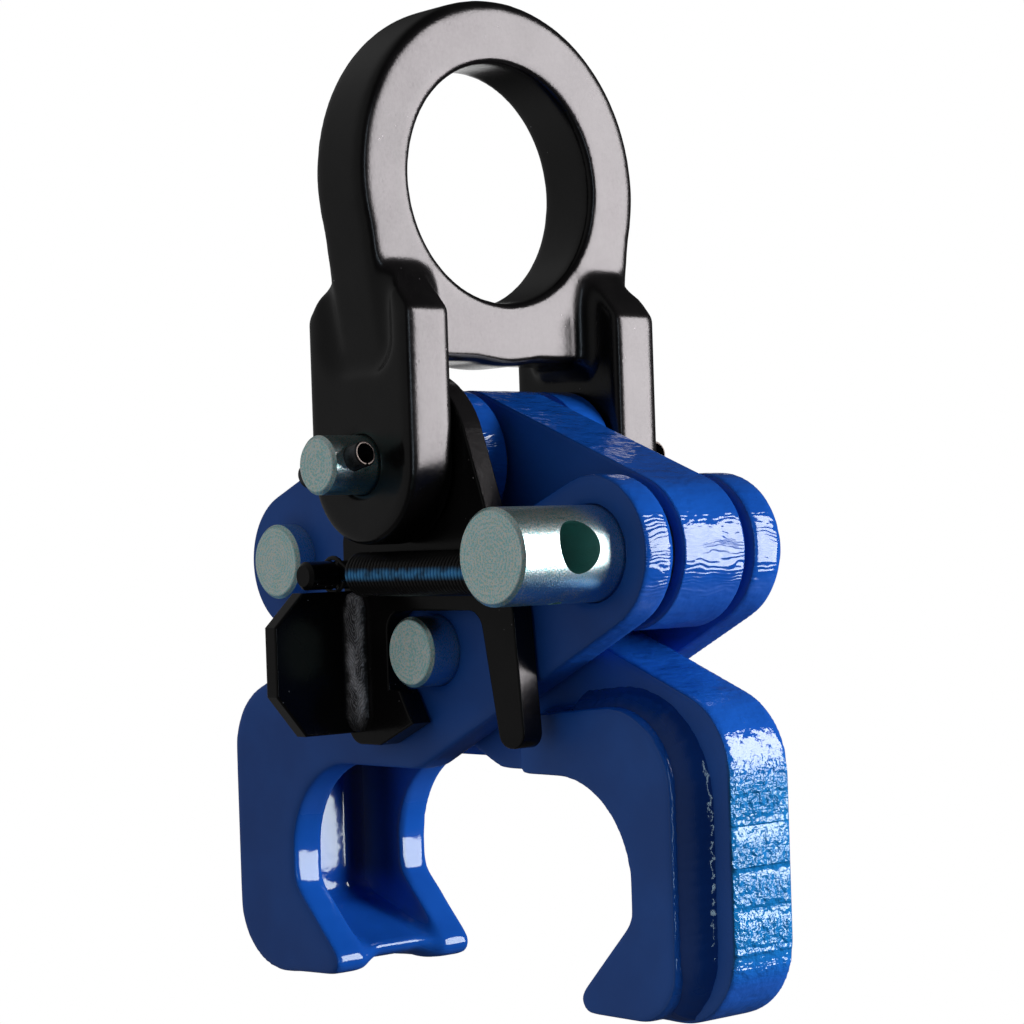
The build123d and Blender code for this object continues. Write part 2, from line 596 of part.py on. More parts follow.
def main():
    """Builds every piece and writes one STEP file for each."""
    os.makedirs("parts", exist_ok=True)
    top_run = SHACKLE_PIN_DIAMETER / 2 + RUNNING_CLEARANCE
    left_fixed = LEFT_PIN_DIAMETER / 2 + PRESS_CLEARANCE
    left_run = LEFT_PIN_DIAMETER / 2 + RUNNING_CLEARANCE
    right_fixed = SPRING_PIN_DIAMETER / 2 + PRESS_CLEARANCE
    right_run = SPRING_PIN_DIAMETER / 2 + RUNNING_CLEARANCE
    centre_fixed = CENTRE_PIN_DIAMETER / 2 + PRESS_CLEARANCE
    centre_run = CENTRE_PIN_DIAMETER / 2 + RUNNING_CLEARANCE
    left_jaw = jaw_outline()
    right_jaw = mirrored(left_jaw)
    cheek_front = MIDDLE_FRONT - CHEEK_THICKNESS
    pieces = {
        "bail": make_bail(),
        "shackle_pin": make_shackle_pin(),
        "shackle_roll_pins": make_roll_pins(),
        "left_link_front": make_link(TOP, LEFT, FRONT_FACE, SIDE_PLATE, top_run, left_fixed),
        "left_link_rear": make_link(TOP, LEFT, REAR_PLATE_FRONT, SIDE_PLATE, top_run, left_fixed),
        "left_eye_pin": pin(
            LEFT, LEFT_PIN_DIAMETER, FRONT_FACE - LEFT_PIN_OVERHANG, REAR_FACE + REAR_PIN_OVERHANG),
        "right_link": make_link(TOP, RIGHT, MIDDLE_FRONT, MIDDLE_PLATE, top_run, right_fixed),
        "spring_pin": make_spring_pin(),
        "spring_anchor": make_spring_anchor(),
        "link_washers": Compound(
            washer_pair(TOP, SHACKLE_PIN_DIAMETER) + washer_pair(RIGHT, SPRING_PIN_DIAMETER)),
        "left_jaw_front_plate": make_jaw_plate(
            left_jaw, FRONT_FACE, SIDE_PLATE, RIGHT, right_run, centre_fixed),
        "left_jaw_rear_plate": make_jaw_plate(
            left_jaw, REAR_PLATE_FRONT, SIDE_PLATE, RIGHT, right_run, centre_fixed),
        "left_jaw_back_wall": make_back_wall(),
        "left_jaw_lip": make_lip(),
        "left_jaw_welds": make_recess_welds(),
        "centre_pin": pin(
            CENTRE, CENTRE_PIN_DIAMETER, FRONT_FACE - CENTRE_PIN_OVERHANG, REAR_FACE + REAR_PIN_OVERHANG),
        "right_jaw_plate": make_jaw_plate(right_jaw, MIDDLE_FRONT, MIDDLE_PLATE, LEFT, left_run, centre_run),
        "right_jaw_cheek_front": make_cheek(cheek_front),
        "right_jaw_cheek_rear": make_cheek(MIDDLE_REAR),
        "right_jaw_weld_front": make_cheek_weld(MIDDLE_FRONT - WELD_LEG, MIDDLE_FRONT - WELD_LEG),
        "right_jaw_weld_rear": make_cheek_weld(MIDDLE_REAR, MIDDLE_REAR + WELD_LEG),
        "jaw_washers": Compound(
            washer_pair(LEFT, LEFT_PIN_DIAMETER) + washer_pair(CENTRE, CENTRE_PIN_DIAMETER)),
        "lock_plate": make_lock_plate(),
        "lock_thumb_plate": make_thumb_plate(),
        "lock_weld": make_lock_weld(),
        "spring_post": make_spring_post(),
        "lock_spring": make_spring(),
    }
    for name, piece in pieces.items():
        export_step(piece, f"parts/{name}.step")
        print(name, round(piece.volume, 1))


if __name__ == "__main__":
    main()
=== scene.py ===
"""Looks of the rail lifting clamp: painted plates, forged bail, zinc-plated pins, welds and spring.

Everything is in metres, in the frame of the construction model: X across the rail, Y along the rail
and the pivot pins, Z up, with the origin at the centre of the lifting eye.
"""
from __future__ import annotations

import logging
import math
from abc import ABC, abstractmethod
from dataclasses import dataclass, field
from enum import Enum

import bmesh
import bpy
from mathutils import Matrix, Vector


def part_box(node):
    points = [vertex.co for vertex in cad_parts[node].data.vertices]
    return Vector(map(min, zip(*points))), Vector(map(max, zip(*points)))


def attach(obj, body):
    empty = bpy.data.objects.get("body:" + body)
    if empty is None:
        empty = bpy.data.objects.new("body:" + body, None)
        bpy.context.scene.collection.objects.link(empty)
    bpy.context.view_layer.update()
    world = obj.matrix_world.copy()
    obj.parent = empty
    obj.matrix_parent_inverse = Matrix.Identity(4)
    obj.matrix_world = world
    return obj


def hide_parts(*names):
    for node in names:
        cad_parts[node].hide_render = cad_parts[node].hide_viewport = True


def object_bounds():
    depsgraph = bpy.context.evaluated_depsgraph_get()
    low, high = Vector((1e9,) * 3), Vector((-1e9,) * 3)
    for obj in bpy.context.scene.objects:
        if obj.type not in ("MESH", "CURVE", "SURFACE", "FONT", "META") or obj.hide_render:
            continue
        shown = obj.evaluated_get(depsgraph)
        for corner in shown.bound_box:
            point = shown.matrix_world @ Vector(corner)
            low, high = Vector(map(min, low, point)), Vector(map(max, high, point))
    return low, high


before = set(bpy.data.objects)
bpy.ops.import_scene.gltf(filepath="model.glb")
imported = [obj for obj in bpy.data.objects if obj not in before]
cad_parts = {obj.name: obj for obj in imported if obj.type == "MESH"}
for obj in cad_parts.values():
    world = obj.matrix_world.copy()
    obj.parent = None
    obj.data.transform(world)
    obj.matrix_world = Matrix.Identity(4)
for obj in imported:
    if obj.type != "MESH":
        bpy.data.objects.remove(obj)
CAD_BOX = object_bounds()

MM = 0.001
MEAN = 0.5
ARC_STEPS = 12
WHITE = (1.0, 1.0, 1.0, 1.0)
LOG = logging.getLogger("clamp")

Colour = tuple[float, float, float]
Triple = tuple[float, float, float]
Span = tuple[float, float]
Socket = bpy.types.NodeSocket


class Axis(Enum):
    """Axes of the frame, as the index of a coordinate."""

    X = 0
    Y = 1
    Z = 2


class Body(Enum):
    """Rigid bodies that the pieces ride on."""

    BAIL = "bail"
    SHACKLE = "shackle"
    LEFT_JAW = "left_jaw"
    RIGHT_JAW = "right_jaw"
    LOCK = "lock"


@dataclass(frozen=True)
class Value:
    """One number in a node graph; arithmetic on it adds Math nodes."""

    graph: Graph
    socket: Socket

    def __add__(self, other: Value | float) -> Value:
        """Sum."""
        return self.graph.math("ADD", self, other)

    __radd__ = __add__

    def __sub__(self, other: Value | float) -> Value:
        """Difference."""
        return self.graph.math("SUBTRACT", self, other)

    def __rsub__(self, other: Value | float) -> Value:
        """Difference from a plain number."""
        return self.graph.math("SUBTRACT", other, self)

    def __mul__(self, other: Value | float) -> Value:
        """Product."""
        return self.graph.math("MULTIPLY", self, other)

    __rmul__ = __mul__

    def __pow__(self, power: float) -> Value:
        """Power."""
        return self.graph.math("POWER", self, power)

    def __abs__(self) -> Value:
        """Size without sign."""
        return self.graph.math("ABSOLUTE", self)


@dataclass(frozen=True)
class Graph:
    """A node tree with one way of adding nodes to it."""

    tree: bpy.types.NodeTree

    @classmethod
    def blank(cls, owner: bpy.types.Material | bpy.types.World) -> Graph:
        """Empties the node tree of a material or a world.

        Args:
            owner: The material or the world.

        Returns:
            Its graph.
        """
        owner.use_nodes = True
        owner.node_tree.nodes.clear()
        return cls(owner.node_tree)

    def add(self, kind: str, settings: dict | None = None, sockets: dict | None = None) -> bpy.types.Node:
        """Adds one node.

        Args:
            kind: Blender's type name of the node.
            settings: Properties of the node, set before its sockets.
            sockets: Socket names or numbers, each with a number, a socket or a Value.

        Returns:
            The new node.
        """
        node = self.tree.nodes.new(kind)
        for name, setting in (settings or {}).items():
            setattr(node, name, setting)
        for key, content in (sockets or {}).items():
            self.feed(node.inputs[key], content)
        return node

    def feed(self, socket: Socket, content: object) -> None:
        """Sets a socket to a plain value or links it.

        Args:
            socket: The input.
            content: A plain value, a socket or a Value.
        """
        if isinstance(content, Value):
            content = content.socket
        if isinstance(content, Socket):
            self.tree.links.new(content, socket)
        else:
            socket.default_value = content

    def math(self, operation: str, *terms: Value | float) -> Value:
        """A Math node on numbers.

        Args:
            operation: The Math node's operation.
            terms: Its inputs in order.

        Returns:
            The result.
        """
        node = self.add("ShaderNodeMath", {"operation": operation}, dict(enumerate(terms)))
        return Value(self, node.outputs[0])

    def ramp(self, value: Value, low: float, high: float) -> Value:
        """A soft step from 0 at low to 1 at high.

        Args:
            value: The number that it depends on.
            low: Where it is 0; it may be above high.
            high: Where it is 1.

        Returns:
            The step.
        """
        sockets = {"Value": value, "From Min": low, "From Max": high}
        node = self.add("ShaderNodeMapRange", {"interpolation_type": "SMOOTHSTEP"}, sockets)
        return Value(self, node.outputs["Result"])

    def above(self, value: Value, place: float, fade: float) -> Value:
        """A soft step from 0 below a place to 1 above it."""
        return self.ramp(value, place - fade, place + fade)

    @staticmethod
    def hypot(first: Value, second: Value) -> Value:
        """Length of a vector with two coordinates."""
        return (first * first + second * second) ** 0.5

    @staticmethod
    def raised(mask: Value, least: float) -> Value:
        """A mask that runs from a least value to 1."""
        return mask * (1 - least) + least

    def wave(self, phase: Value) -> Value:
        """A sine wave between 0 and 1."""
        return self.math("SINE", phase) * MEAN + MEAN

    def point(self) -> Socket:
        """The surface point in the piece's own frame."""
        return self.add("ShaderNodeTexCoord").outputs["Object"]

    def normal(self) -> Socket:
        """The surface normal in the piece's own frame."""
        return self.add("ShaderNodeTexCoord").outputs["Normal"]

    def stretched(self, vector: Socket, factors: Triple) -> Socket:
        """A vector with each coordinate multiplied."""
        node = self.add("ShaderNodeVectorMath", {"operation": "MULTIPLY"}, {0: vector, 1: factors})
        return node.outputs["Vector"]

    def moved(self, vector: Socket, centre: Vector) -> Socket:
        """A vector counted from a centre."""
        node = self.add("ShaderNodeVectorMath", {"operation": "SUBTRACT"}, {0: vector, 1: tuple(centre)})
        return node.outputs["Vector"]

    def part(self, vector: Socket, axis: Axis) -> Value:
        """One coordinate of a vector."""
        node = self.add("ShaderNodeSeparateXYZ", sockets={0: vector})
        return Value(self, node.outputs[axis.value])

    def parts(self, vector: Socket) -> tuple[Value, ...]:
        """The coordinates of a vector: X, Y and Z."""
        return tuple(self.part(vector, axis) for axis in Axis)

    def towards(self, vector: Socket, side: Triple) -> Value:
        """How far a vector goes to one side."""
        node = self.add("ShaderNodeVectorMath", {"operation": "DOT_PRODUCT"}, {0: vector, 1: side})
        return Value(self, node.outputs["Value"])

    def noise(self, vector: Socket, scale: float, detail: float = 2.0) -> Value:
        """Smooth noise between 0 and 1.

        Args:
            vector: Where it is read.
            scale: Cells for each metre.
            detail: How many finer layers it has.

        Returns:
            The noise.
        """
        sockets = {"Vector": vector, "Scale": scale, "Detail": detail}
        node = self.add("ShaderNodeTexNoise", sockets=sockets)
        return Value(self, node.outputs[0])

    def cells(self, vector: Socket, scale: float) -> Value:
        """Distance to the nearest of many scattered points, in cell widths."""
        node = self.add("ShaderNodeTexVoronoi", sockets={"Vector": vector, "Scale": scale})
        return Value(self, node.outputs["Distance"])

    def blend(self, factor: Value, first: object, second: object) -> Socket:
        """A colour between two colours.

        Args:
            factor: 0 for the first, 1 for the second.
            first: A colour or a colour socket.
            second: A colour or a colour socket.

        Returns:
            The mixed colour.
        """
        sockets = {0: factor, 6: self.opaque(first), 7: self.opaque(second)}
        node = self.add("ShaderNodeMix", {"data_type": "RGBA"}, sockets)
        return node.outputs[2]

    @staticmethod
    def opaque(colour: object) -> object:
        """A plain colour with its alpha, or a socket as it is."""
        return (*colour, 1.0) if isinstance(colour, tuple) else colour

    def bump(self, height: Value, depth: float) -> Socket:
        """A normal from a height.

        Args:
            height: Height between about 0 and 1.
            depth: How deep a height of 1 is, in metres.

        Returns:
            The bent normal.
        """
        node = self.add("ShaderNodeBump", sockets={"Distance": depth, "Height": height})
        return node.outputs["Normal"]


class Finish(ABC):
    """A surface finish that makes materials."""

    def material(self, name: str) -> bpy.types.Material:
        """Makes a material with this finish.

        Args:
            name: The material's name.

        Returns:
            The new material.
        """
        made = bpy.data.materials.new(name)
        graph = Graph.blank(made)
        shader = graph.add("ShaderNodeBsdfPrincipled")
        graph.add("ShaderNodeOutputMaterial", sockets={"Surface": shader.outputs[0]})
        for socket, content in self.sockets(graph).items():
            graph.feed(shader.inputs[socket], content)
        return made

    @abstractmethod
    def sockets(self, graph: Graph) -> dict[str, object]:
        """The shader's inputs.

        Args:
            graph: The material's graph.

        Returns:
            Socket names with their values or links.
        """


@dataclass(frozen=True)
class Grain:
    """Noise drawn out along Y, the direction in which the plates are cut through."""

    along: float
    scale: float
    detail: float = 2.0

    def on(self, graph: Graph, point: Socket) -> Value:
        """The noise at a point, between 0 and 1."""
        return graph.noise(graph.stretched(point, (1.0, self.along, 1.0)), self.scale, self.detail)


@dataclass(frozen=True)
class BlueEnamel(Finish):
    """Thick gloss enamel over flame-cut plate: it sags a little, and cut edges have drag lines and pits.

    Heights of the relief are in millimetres.
    """

    deep: Colour = (0.0058, 0.074, 0.392)
    bright: Colour = (0.0078, 0.094, 0.472)
    # Colour of a painted sheen: azure that stands in for a soft reflection on the cut edge.
    painted_sheen_colour: Colour = (0.008, 0.225, 0.560)
    glint: Colour = (0.84, 1.0, 0.93)
    gloss: float = 0.48
    roughness: float = 0.05
    uneven: float = 0.06
    uneven_scale: float = 150.0
    face: Span = (0.5, 0.95)
    face_roughness: float = 0.45
    face_relief: float = 0.2
    underside: Span = (-0.25, -0.55)
    under_roughness: float = 0.35
    cloud: Span = (0.3, 0.7)
    cloud_scale: float = 45.0
    sag: float = 0.45
    sag_grain: Grain = Grain(0.6, 250.0)
    peel: float = 0.06
    peel_scale: float = 420.0
    drag: float = 0.045
    drag_pitch: float = 1.1 * MM
    drag_sway: float = 6.0
    drag_sway_grain: Grain = Grain(0.5, 160.0)
    drag_patch: Span = (0.4, 0.6)
    drag_patch_grain: Grain = Grain(0.4, 110.0, 1.0)
    drag_least: float = 0.2
    drag_steep: Span = (0.35, 0.7)
    drag_foot: float = -1.0
    drag_fade: float = 10.0 * MM
    pits: float = 0.1
    pits_grain: Grain = Grain(0.8, 620.0)
    pits_band: Span = (0.38, 0.6)
    pits_band_grain: Grain = Grain(0.05, 140.0)
    pits_band_gain: float = 0.8
    pits_band_least: float = 0.35
    pits_elsewhere: float = 0.1
    pits_top: float = 1.0
    pits_foot: float = -1.0
    pits_fade: float = 4.0 * MM
    pits_side: float = -1.0
    pits_side_fade: float = 1.0 * MM
    torch: float = 0.0
    torch_mark: Span = (0.54, 0.62)
    torch_grain: Grain = Grain(0.03, 300.0, 1.0)
    # Share of the painted sheen on the pitted part of the cut edge.
    painted_sheen: float = 0.0

    def sockets(self, graph: Graph) -> dict[str, object]:
        """Blue with a cloudy tone, a painted azure sheen on the pitted cut edge where it is turned on, and
        a relief that breaks up the gloss.

        Args:
            graph: The material's graph.

        Returns:
            Socket names with their values or links.
        """
        point = graph.point()
        edge = 1 - graph.ramp(abs(graph.part(graph.normal(), Axis.Y)), *self.face)
        cloud = graph.noise(point, self.cloud_scale, detail=3.0)
        skin = graph.raised(edge, self.face_relief) * self.skin(graph, point)
        relief = edge * self.cut_edge(graph, point) + skin
        blue = graph.blend(graph.ramp(cloud, *self.cloud), self.deep, self.bright)
        uneven = graph.noise(point, self.uneven_scale, detail=3.0) * self.uneven
        return {
            # Painted sheen: azure laid into the colour on the pitted part of the cut edge.
            "Base Color": graph.blend(edge * self.pitted(graph, point) * self.painted_sheen, blue, self.painted_sheen_colour),
            "Roughness": self.dullness(graph, edge) + uneven,
            "Specular IOR Level": self.gloss,
            "Specular Tint": graph.opaque(self.glint),
            "Normal": graph.bump(relief, MM),
        }

    def dullness(self, graph: Graph, edge: Value) -> Value:
        """Roughness of the coat, which is thin on undersides and rolled flat on the plates' faces.

        Args:
            graph: The material's graph.
            edge: 1 on cut edges and 0 on faces.

        Returns:
            The roughness.
        """
        under = graph.ramp(graph.part(graph.normal(), Axis.Z), *self.underside)
        return self.roughness + (1 - edge) * self.face_roughness + edge * under * self.under_roughness

    def cut_edge(self, graph: Graph, point: Socket) -> Value:
        """Relief of a flame-cut edge that runs along Y.

        Args:
            graph: The material's graph.
            point: The surface point.

        Returns:
            Its height: drag lines, pits and torch marks.
        """
        height = graph.part(point, Axis.Z)
        sway = self.drag_sway_grain.on(graph, point) * self.drag_sway
        lines = graph.math("SINE", (height * (1 / self.drag_pitch) + sway) * (2 * math.pi))
        patch = graph.ramp(self.drag_patch_grain.on(graph, point), *self.drag_patch)
        upper = graph.above(height, self.drag_foot, self.drag_fade)
        steep = 1 - graph.ramp(abs(graph.part(graph.normal(), Axis.Z)), *self.drag_steep)
        drag = lines * graph.raised(patch, self.drag_least) * upper * steep
        band = graph.ramp(self.pits_band_grain.on(graph, point), *self.pits_band)
        pits = self.pits_grain.on(graph, point) * (band * self.pits_band_gain + self.pits_band_least)
        pitted = self.pitted(graph, point)
        torch = graph.ramp(self.torch_grain.on(graph, point), *self.torch_mark)
        return (drag * self.drag + pits * graph.raised(pitted, self.pits_elsewhere) * self.pits
                + torch * pitted * self.torch)

    def pitted(self, graph: Graph, point: Socket) -> Value:
        """Where the cut edge is rough.

        Args:
            graph: The material's graph.
            point: The surface point.

        Returns:
            1 between the top and the foot of the pits, on their side, and 0 elsewhere.
        """
        height = graph.part(point, Axis.Z)
        below = 1 - graph.above(height, self.pits_top, self.pits_fade)
        above = graph.above(height, self.pits_foot, self.pits_fade)
        beside = graph.ramp(graph.part(point, Axis.X), self.pits_side, self.pits_side + self.pits_side_fade)
        return below * above * beside

    def skin(self, graph: Graph, point: Socket) -> Value:
        """Height of the paint's long sags and light orange peel."""
        peel = graph.noise(point, self.peel_scale, detail=1.0)
        return self.sag_grain.on(graph, point) * self.sag + peel * self.peel


@dataclass(frozen=True)
class ShadedEnamel(BlueEnamel):
    """The same enamel, with painted shade deep between two plates."""

    # Painted shade: a dark colour laid into the enamel in the recess between the plates, where little light
    # reaches.
    painted_shade: Colour = (0.003, 0.006, 0.02)
    shade_strength: float = 0.85
    wall: float = -80.5 * MM
    mouth: float = -53.5 * MM
    front: float = 5.5 * MM
    rear: float = 17.0 * MM
    foot: float = -184.0 * MM
    blur: float = 2.0 * MM
    reach: float = 12.0 * MM
    calm: float = 0.2
    calm_top: float = -125.0 * MM

    def sockets(self, graph: Graph) -> dict[str, object]:
        """Blue enamel with painted shade that darkens it towards the wall and the rear plate.

        Args:
            graph: The material's graph.

        Returns:
            Socket names with their values or links.
        """
        made = super().sockets(graph)
        point = graph.point()
        side_x, side_y, side_z = graph.parts(point)
        within = graph.above(side_x, self.wall, self.blur / 2)
        inside = within * (1 - graph.ramp(side_x, self.mouth - self.reach, self.mouth))
        behind = graph.ramp(side_y, self.front, self.front + self.reach / 2)
        between = behind * (1 - graph.ramp(side_y, self.rear, self.rear + self.blur))
        above = graph.ramp(side_z, self.foot, self.foot + self.reach)
        shaded = inside * between * above * self.shade_strength
        # Paints shade into the recess.
        made["Base Color"] = graph.blend(shaded, made["Base Color"], self.painted_shade)
        return made

    def skin(self, graph: Graph, point: Socket) -> Value:
        """Relief of the paint, which lies smoother round the rail's place."""
        return super().skin(graph, point) * self.unrest(graph, point)

    def cut_edge(self, graph: Graph, point: Socket) -> Value:
        """Relief of a cut edge, which is worn smoother round the rail's place."""
        return super().cut_edge(graph, point) * self.unrest(graph, point)

    def unrest(self, graph: Graph, point: Socket) -> Value:
        """Share of the relief that is left: all of it above the rail's place and a little beside it."""
        upper = graph.ramp(graph.part(point, Axis.Z), self.calm_top - self.reach, self.calm_top)
        return graph.raised(upper, self.calm)


@dataclass(frozen=True)
class SatinBlack(Finish):
    """Black coat on forged or cut steel, with a fine grain and a little dust."""

    base: Colour = (0.0030, 0.0029, 0.0031)
    worn: Colour = (0.0060, 0.0057, 0.0060)
    dust: Colour = (0.40, 0.39, 0.40)
    dusty: float = 0.7
    roughness: float = 0.22
    uneven: float = 0.12
    shine: float = 0.45
    grain: float = 1400.0
    grain_height: float = 0.4
    dents: float = 90.0
    dents_height: float = 1.8
    wear: Span = (0.35, 0.75)
    pit: Span = (0.06, 0.16)
    pit_grains: float = 5.0
    pit_depth: float = 0.3
    speck: Span = (0.05, 0.10)
    speck_scale: float = 420.0
    speck_patch: Span = (0.6, 0.7)
    speck_patch_scale: float = 70.0
    depth: float = 0.05 * MM

    def sockets(self, graph: Graph) -> dict[str, object]:
        """Near black with a grain, soft dents, small pits and dust specks.

        Args:
            graph: The material's graph.

        Returns:
            Socket names with their values or links.
        """
        point = graph.point()
        grain = graph.noise(point, self.grain, detail=3.0)
        dents = graph.noise(point, self.dents, detail=3.0)
        pits = 1 - graph.ramp(graph.cells(point, self.grain / self.pit_grains), *self.pit)
        patch = graph.ramp(graph.noise(point, self.speck_patch_scale, detail=1.0), *self.speck_patch)
        specks = (1 - graph.ramp(graph.cells(point, self.speck_scale), *self.speck)) * patch
        colour = graph.blend(graph.ramp(dents, *self.wear), self.base, self.worn)
        uneven = (grain - MEAN) * self.uneven + (dents - MEAN) * self.uneven
        height = grain * self.grain_height + dents * self.dents_height - pits * self.pit_depth
        return {
            "Base Color": graph.blend(specks * self.dusty, colour, self.dust),
            "Roughness": self.roughness + uneven,
            "Specular IOR Level": self.shine,
            "Normal": graph.bump(height, self.depth),
        }


@dataclass(frozen=True)
class ZincPlate(Finish):
    """Passivated zinc on a turned pin along Y: rings on its ends and fine turning lines on its side."""

    centre: Vector
    half_length: float
    dark: Colour = (0.36, 0.78, 0.78)
    light: Colour = (0.95, 1.0, 1.0)
    cyan: Colour = (0.42, 0.95, 1.0)
    straw: Colour = (1.0, 1.0, 0.76)
    # Colour of a painted reflection of the blue plates on the undersides of the pins' sides.
    blue: Colour = (0.25, 0.66, 0.98)
    # Colour of painted shade inside the cross hole.
    bore_shade: Colour = (0.13, 0.36, 0.33)
    roughness: float = 0.33
    uneven: float = 0.22
    hole: Span = (0.4, 0.65)
    hole_roughness: float = 0.3
    hole_dulled: float = 0.7
    end: Span = (-0.3 * MM, -0.1 * MM)
    end_dulled: float = 0.95
    underside: Span = (-0.15, -0.75)
    tone: Span = (0.40, 0.56)
    cool: Span = (0.50, 0.66)
    cool_share: float = 0.75
    warm: Span = (0.48, 0.34)
    warm_share: float = 0.7
    tint: Span = (0.7, 1.0)
    speckle: float = 2600.0
    speckle_height: float = 1.1
    fleck: float = 3120.0
    cloud: float = 260.0
    cloud_share: float = 0.2
    turning: float = 3500.0
    turning_stretch: float = 0.04
    turning_height: float = 0.5
    rings: float = 6000.0
    rings_height: float = 0.3
    rings_share: float = 0.10
    wobble: float = 7.0
    wobble_scale: float = 500.0
    depth: float = 0.05 * MM

    def sockets(self, graph: Graph) -> dict[str, object]:
        """Grey speckled with cyan and straw, a painted blue reflection underneath, painted shade in the
        cross hole, and rings about the pin's axis.

        Args:
            graph: The material's graph.

        Returns:
            Socket names with their values or links.
        """
        point = graph.moved(graph.point(), self.centre)
        side_x, side_y, side_z = graph.parts(point)
        normal_x, _, normal_z = graph.parts(graph.normal())
        radius = graph.hypot(side_x, side_z)
        end = graph.ramp(abs(side_y), self.half_length + self.end[0], self.half_length + self.end[1])
        outward = graph.math("DIVIDE", normal_x * side_x + normal_z * side_z, radius)
        hole = (1 - graph.ramp(outward, *self.hole)) * (1 - end)
        under = graph.ramp(normal_z, *self.underside) * (1 - end)
        wobble = graph.noise(point, self.wobble_scale, detail=3.0) * self.wobble
        ring = graph.wave(radius * self.rings + wobble)
        drawn = graph.stretched(point, (self.turning_stretch, 1.0, self.turning_stretch))
        turning = graph.noise(drawn, self.turning)
        speckle = graph.noise(point, self.speckle)
        flecks = graph.noise(point, self.fleck)
        cloud = graph.noise(point, self.cloud, detail=3.0)
        lines = end * ring * self.rings_height + (1 - end) * turning * self.turning_height
        mottle = speckle * (1 - self.cloud_share) + cloud * self.cloud_share
        tone = graph.ramp(mottle + end * (ring - MEAN) * self.rings_share, *self.tone)
        grey = graph.blend(tone, self.dark, self.light)
        cool = graph.blend(graph.ramp(flecks, *self.cool) * self.cool_share, grey, self.cyan)
        warm = graph.blend(graph.ramp(flecks, *self.warm) * self.warm_share, cool, self.straw)
        # Painted reflection: blue laid on the downward-facing part of the side.
        reflected = graph.blend(under * graph.ramp(flecks + cloud, *self.tint), warm, self.blue)
        return {
            # Painted shade inside the cross hole.
            "Base Color": graph.blend(hole, reflected, self.bore_shade),
            "Metallic": 1 - end * self.end_dulled - hole * self.hole_dulled,
            "Roughness": self.roughness + (speckle - MEAN) * self.uneven + hole * self.hole_roughness,
            "Normal": graph.bump(lines + speckle * self.speckle_height, self.depth),
        }


@dataclass(frozen=True)
class DarkSteel(Finish):
    """Oiled or blackened bare steel."""

    dark: Colour = (0.035, 0.036, 0.040)
    light: Colour = (0.11, 0.115, 0.13)
    bright_ends: Colour | None = None
    metal: float = 0.9
    roughness: float = 0.3
    uneven: float = 0.2
    blacking: Span = (0.35, 0.7)
    end: Span = (0.6, 0.9)
    grain: float = 2200.0
    cloud_grains: float = 6.0
    depth: float = 0.03 * MM

    def sockets(self, graph: Graph) -> dict[str, object]:
        """Dark metal with uneven blacking, bare on cut ends where the piece has them.

        Args:
            graph: The material's graph.

        Returns:
            Socket names with their values or links.
        """
        point = graph.point()
        grain = graph.noise(point, self.grain)
        cloud = graph.noise(point, self.grain / self.cloud_grains, detail=3.0)
        colour = graph.blend(graph.ramp(cloud, *self.blacking), self.dark, self.light)
        if self.bright_ends is not None:
            end = graph.ramp(abs(graph.part(graph.normal(), Axis.X)), *self.end)
            colour = graph.blend(end, colour, self.bright_ends)
        return {
            "Base Color": colour,
            "Metallic": self.metal,
            "Roughness": self.roughness + (cloud - MEAN) * self.uneven,
            "Normal": graph.bump(grain, self.depth),
        }


@dataclass(frozen=True)
class WeldSteel(Finish):
    """Bare weld metal with the fine arrow-shaped ripples of a fillet weld that runs down from its root."""

    root: Vector
    leg: float
    length: float
    dark: Colour = (0.010, 0.0098, 0.0105)
    light: Colour = (0.85, 0.83, 0.88)
    metal: float = 0.35
    roughness: float = 0.32
    uneven: float = 0.1
    pitch: float = 1.3 * MM
    slant: float = 1.4
    ripple_shade_share: float = 0.4
    sway: float = 5.0
    sway_scale: float = 420.0
    scale: Span = (0.36, 0.62)
    scale_share: float = 0.5
    scale_size: float = 260.0
    scale_stretch: float = 0.4
    toe: Span = (0.35, 0.9)
    foot: float = 0.75
    depth: float = 0.12 * MM

    def sockets(self, graph: Graph) -> dict[str, object]:
        """Grey metal with painted shade in the ripples' hollows and a painted highlight on their crests,
        and dark under the paint along its toes and ends.

        Args:
            graph: The material's graph.

        Returns:
            Socket names with their values or links.
        """
        point = graph.moved(graph.point(), self.root)
        side_x, side_y, side_z = graph.parts(point)
        across = abs(side_x + side_y)
        sway = graph.noise(point, self.sway_scale, detail=3.0)
        phase = (side_z - across * self.slant) * (1 / self.pitch) + sway * self.sway
        ripple = graph.wave(phase * (2 * math.pi))
        drawn = graph.stretched(point, (1.0, 1.0, self.scale_stretch))
        scale = graph.ramp(graph.noise(drawn, self.scale_size, detail=3.0), *self.scale)
        toe_start, toe_end = (share * self.leg for share in self.toe)
        toes = 1 - graph.ramp(across + (sway - MEAN) * self.leg, toe_start, toe_end)
        ends = graph.ramp(side_z, -self.length, -self.length * self.foot)
        # Bare patches of weld metal, plus painted shade in the ripples' hollows and painted highlight on
        # their crests.
        bare_and_ripple_shade = (ripple * self.ripple_shade_share + scale * self.scale_share) * toes * ends
        return {
            "Base Color": graph.blend(bare_and_ripple_shade, self.dark, self.light),
            "Metallic": self.metal,
            "Roughness": self.roughness + scale * self.uneven,
            "Normal": graph.bump(ripple * toes, self.depth),
        }


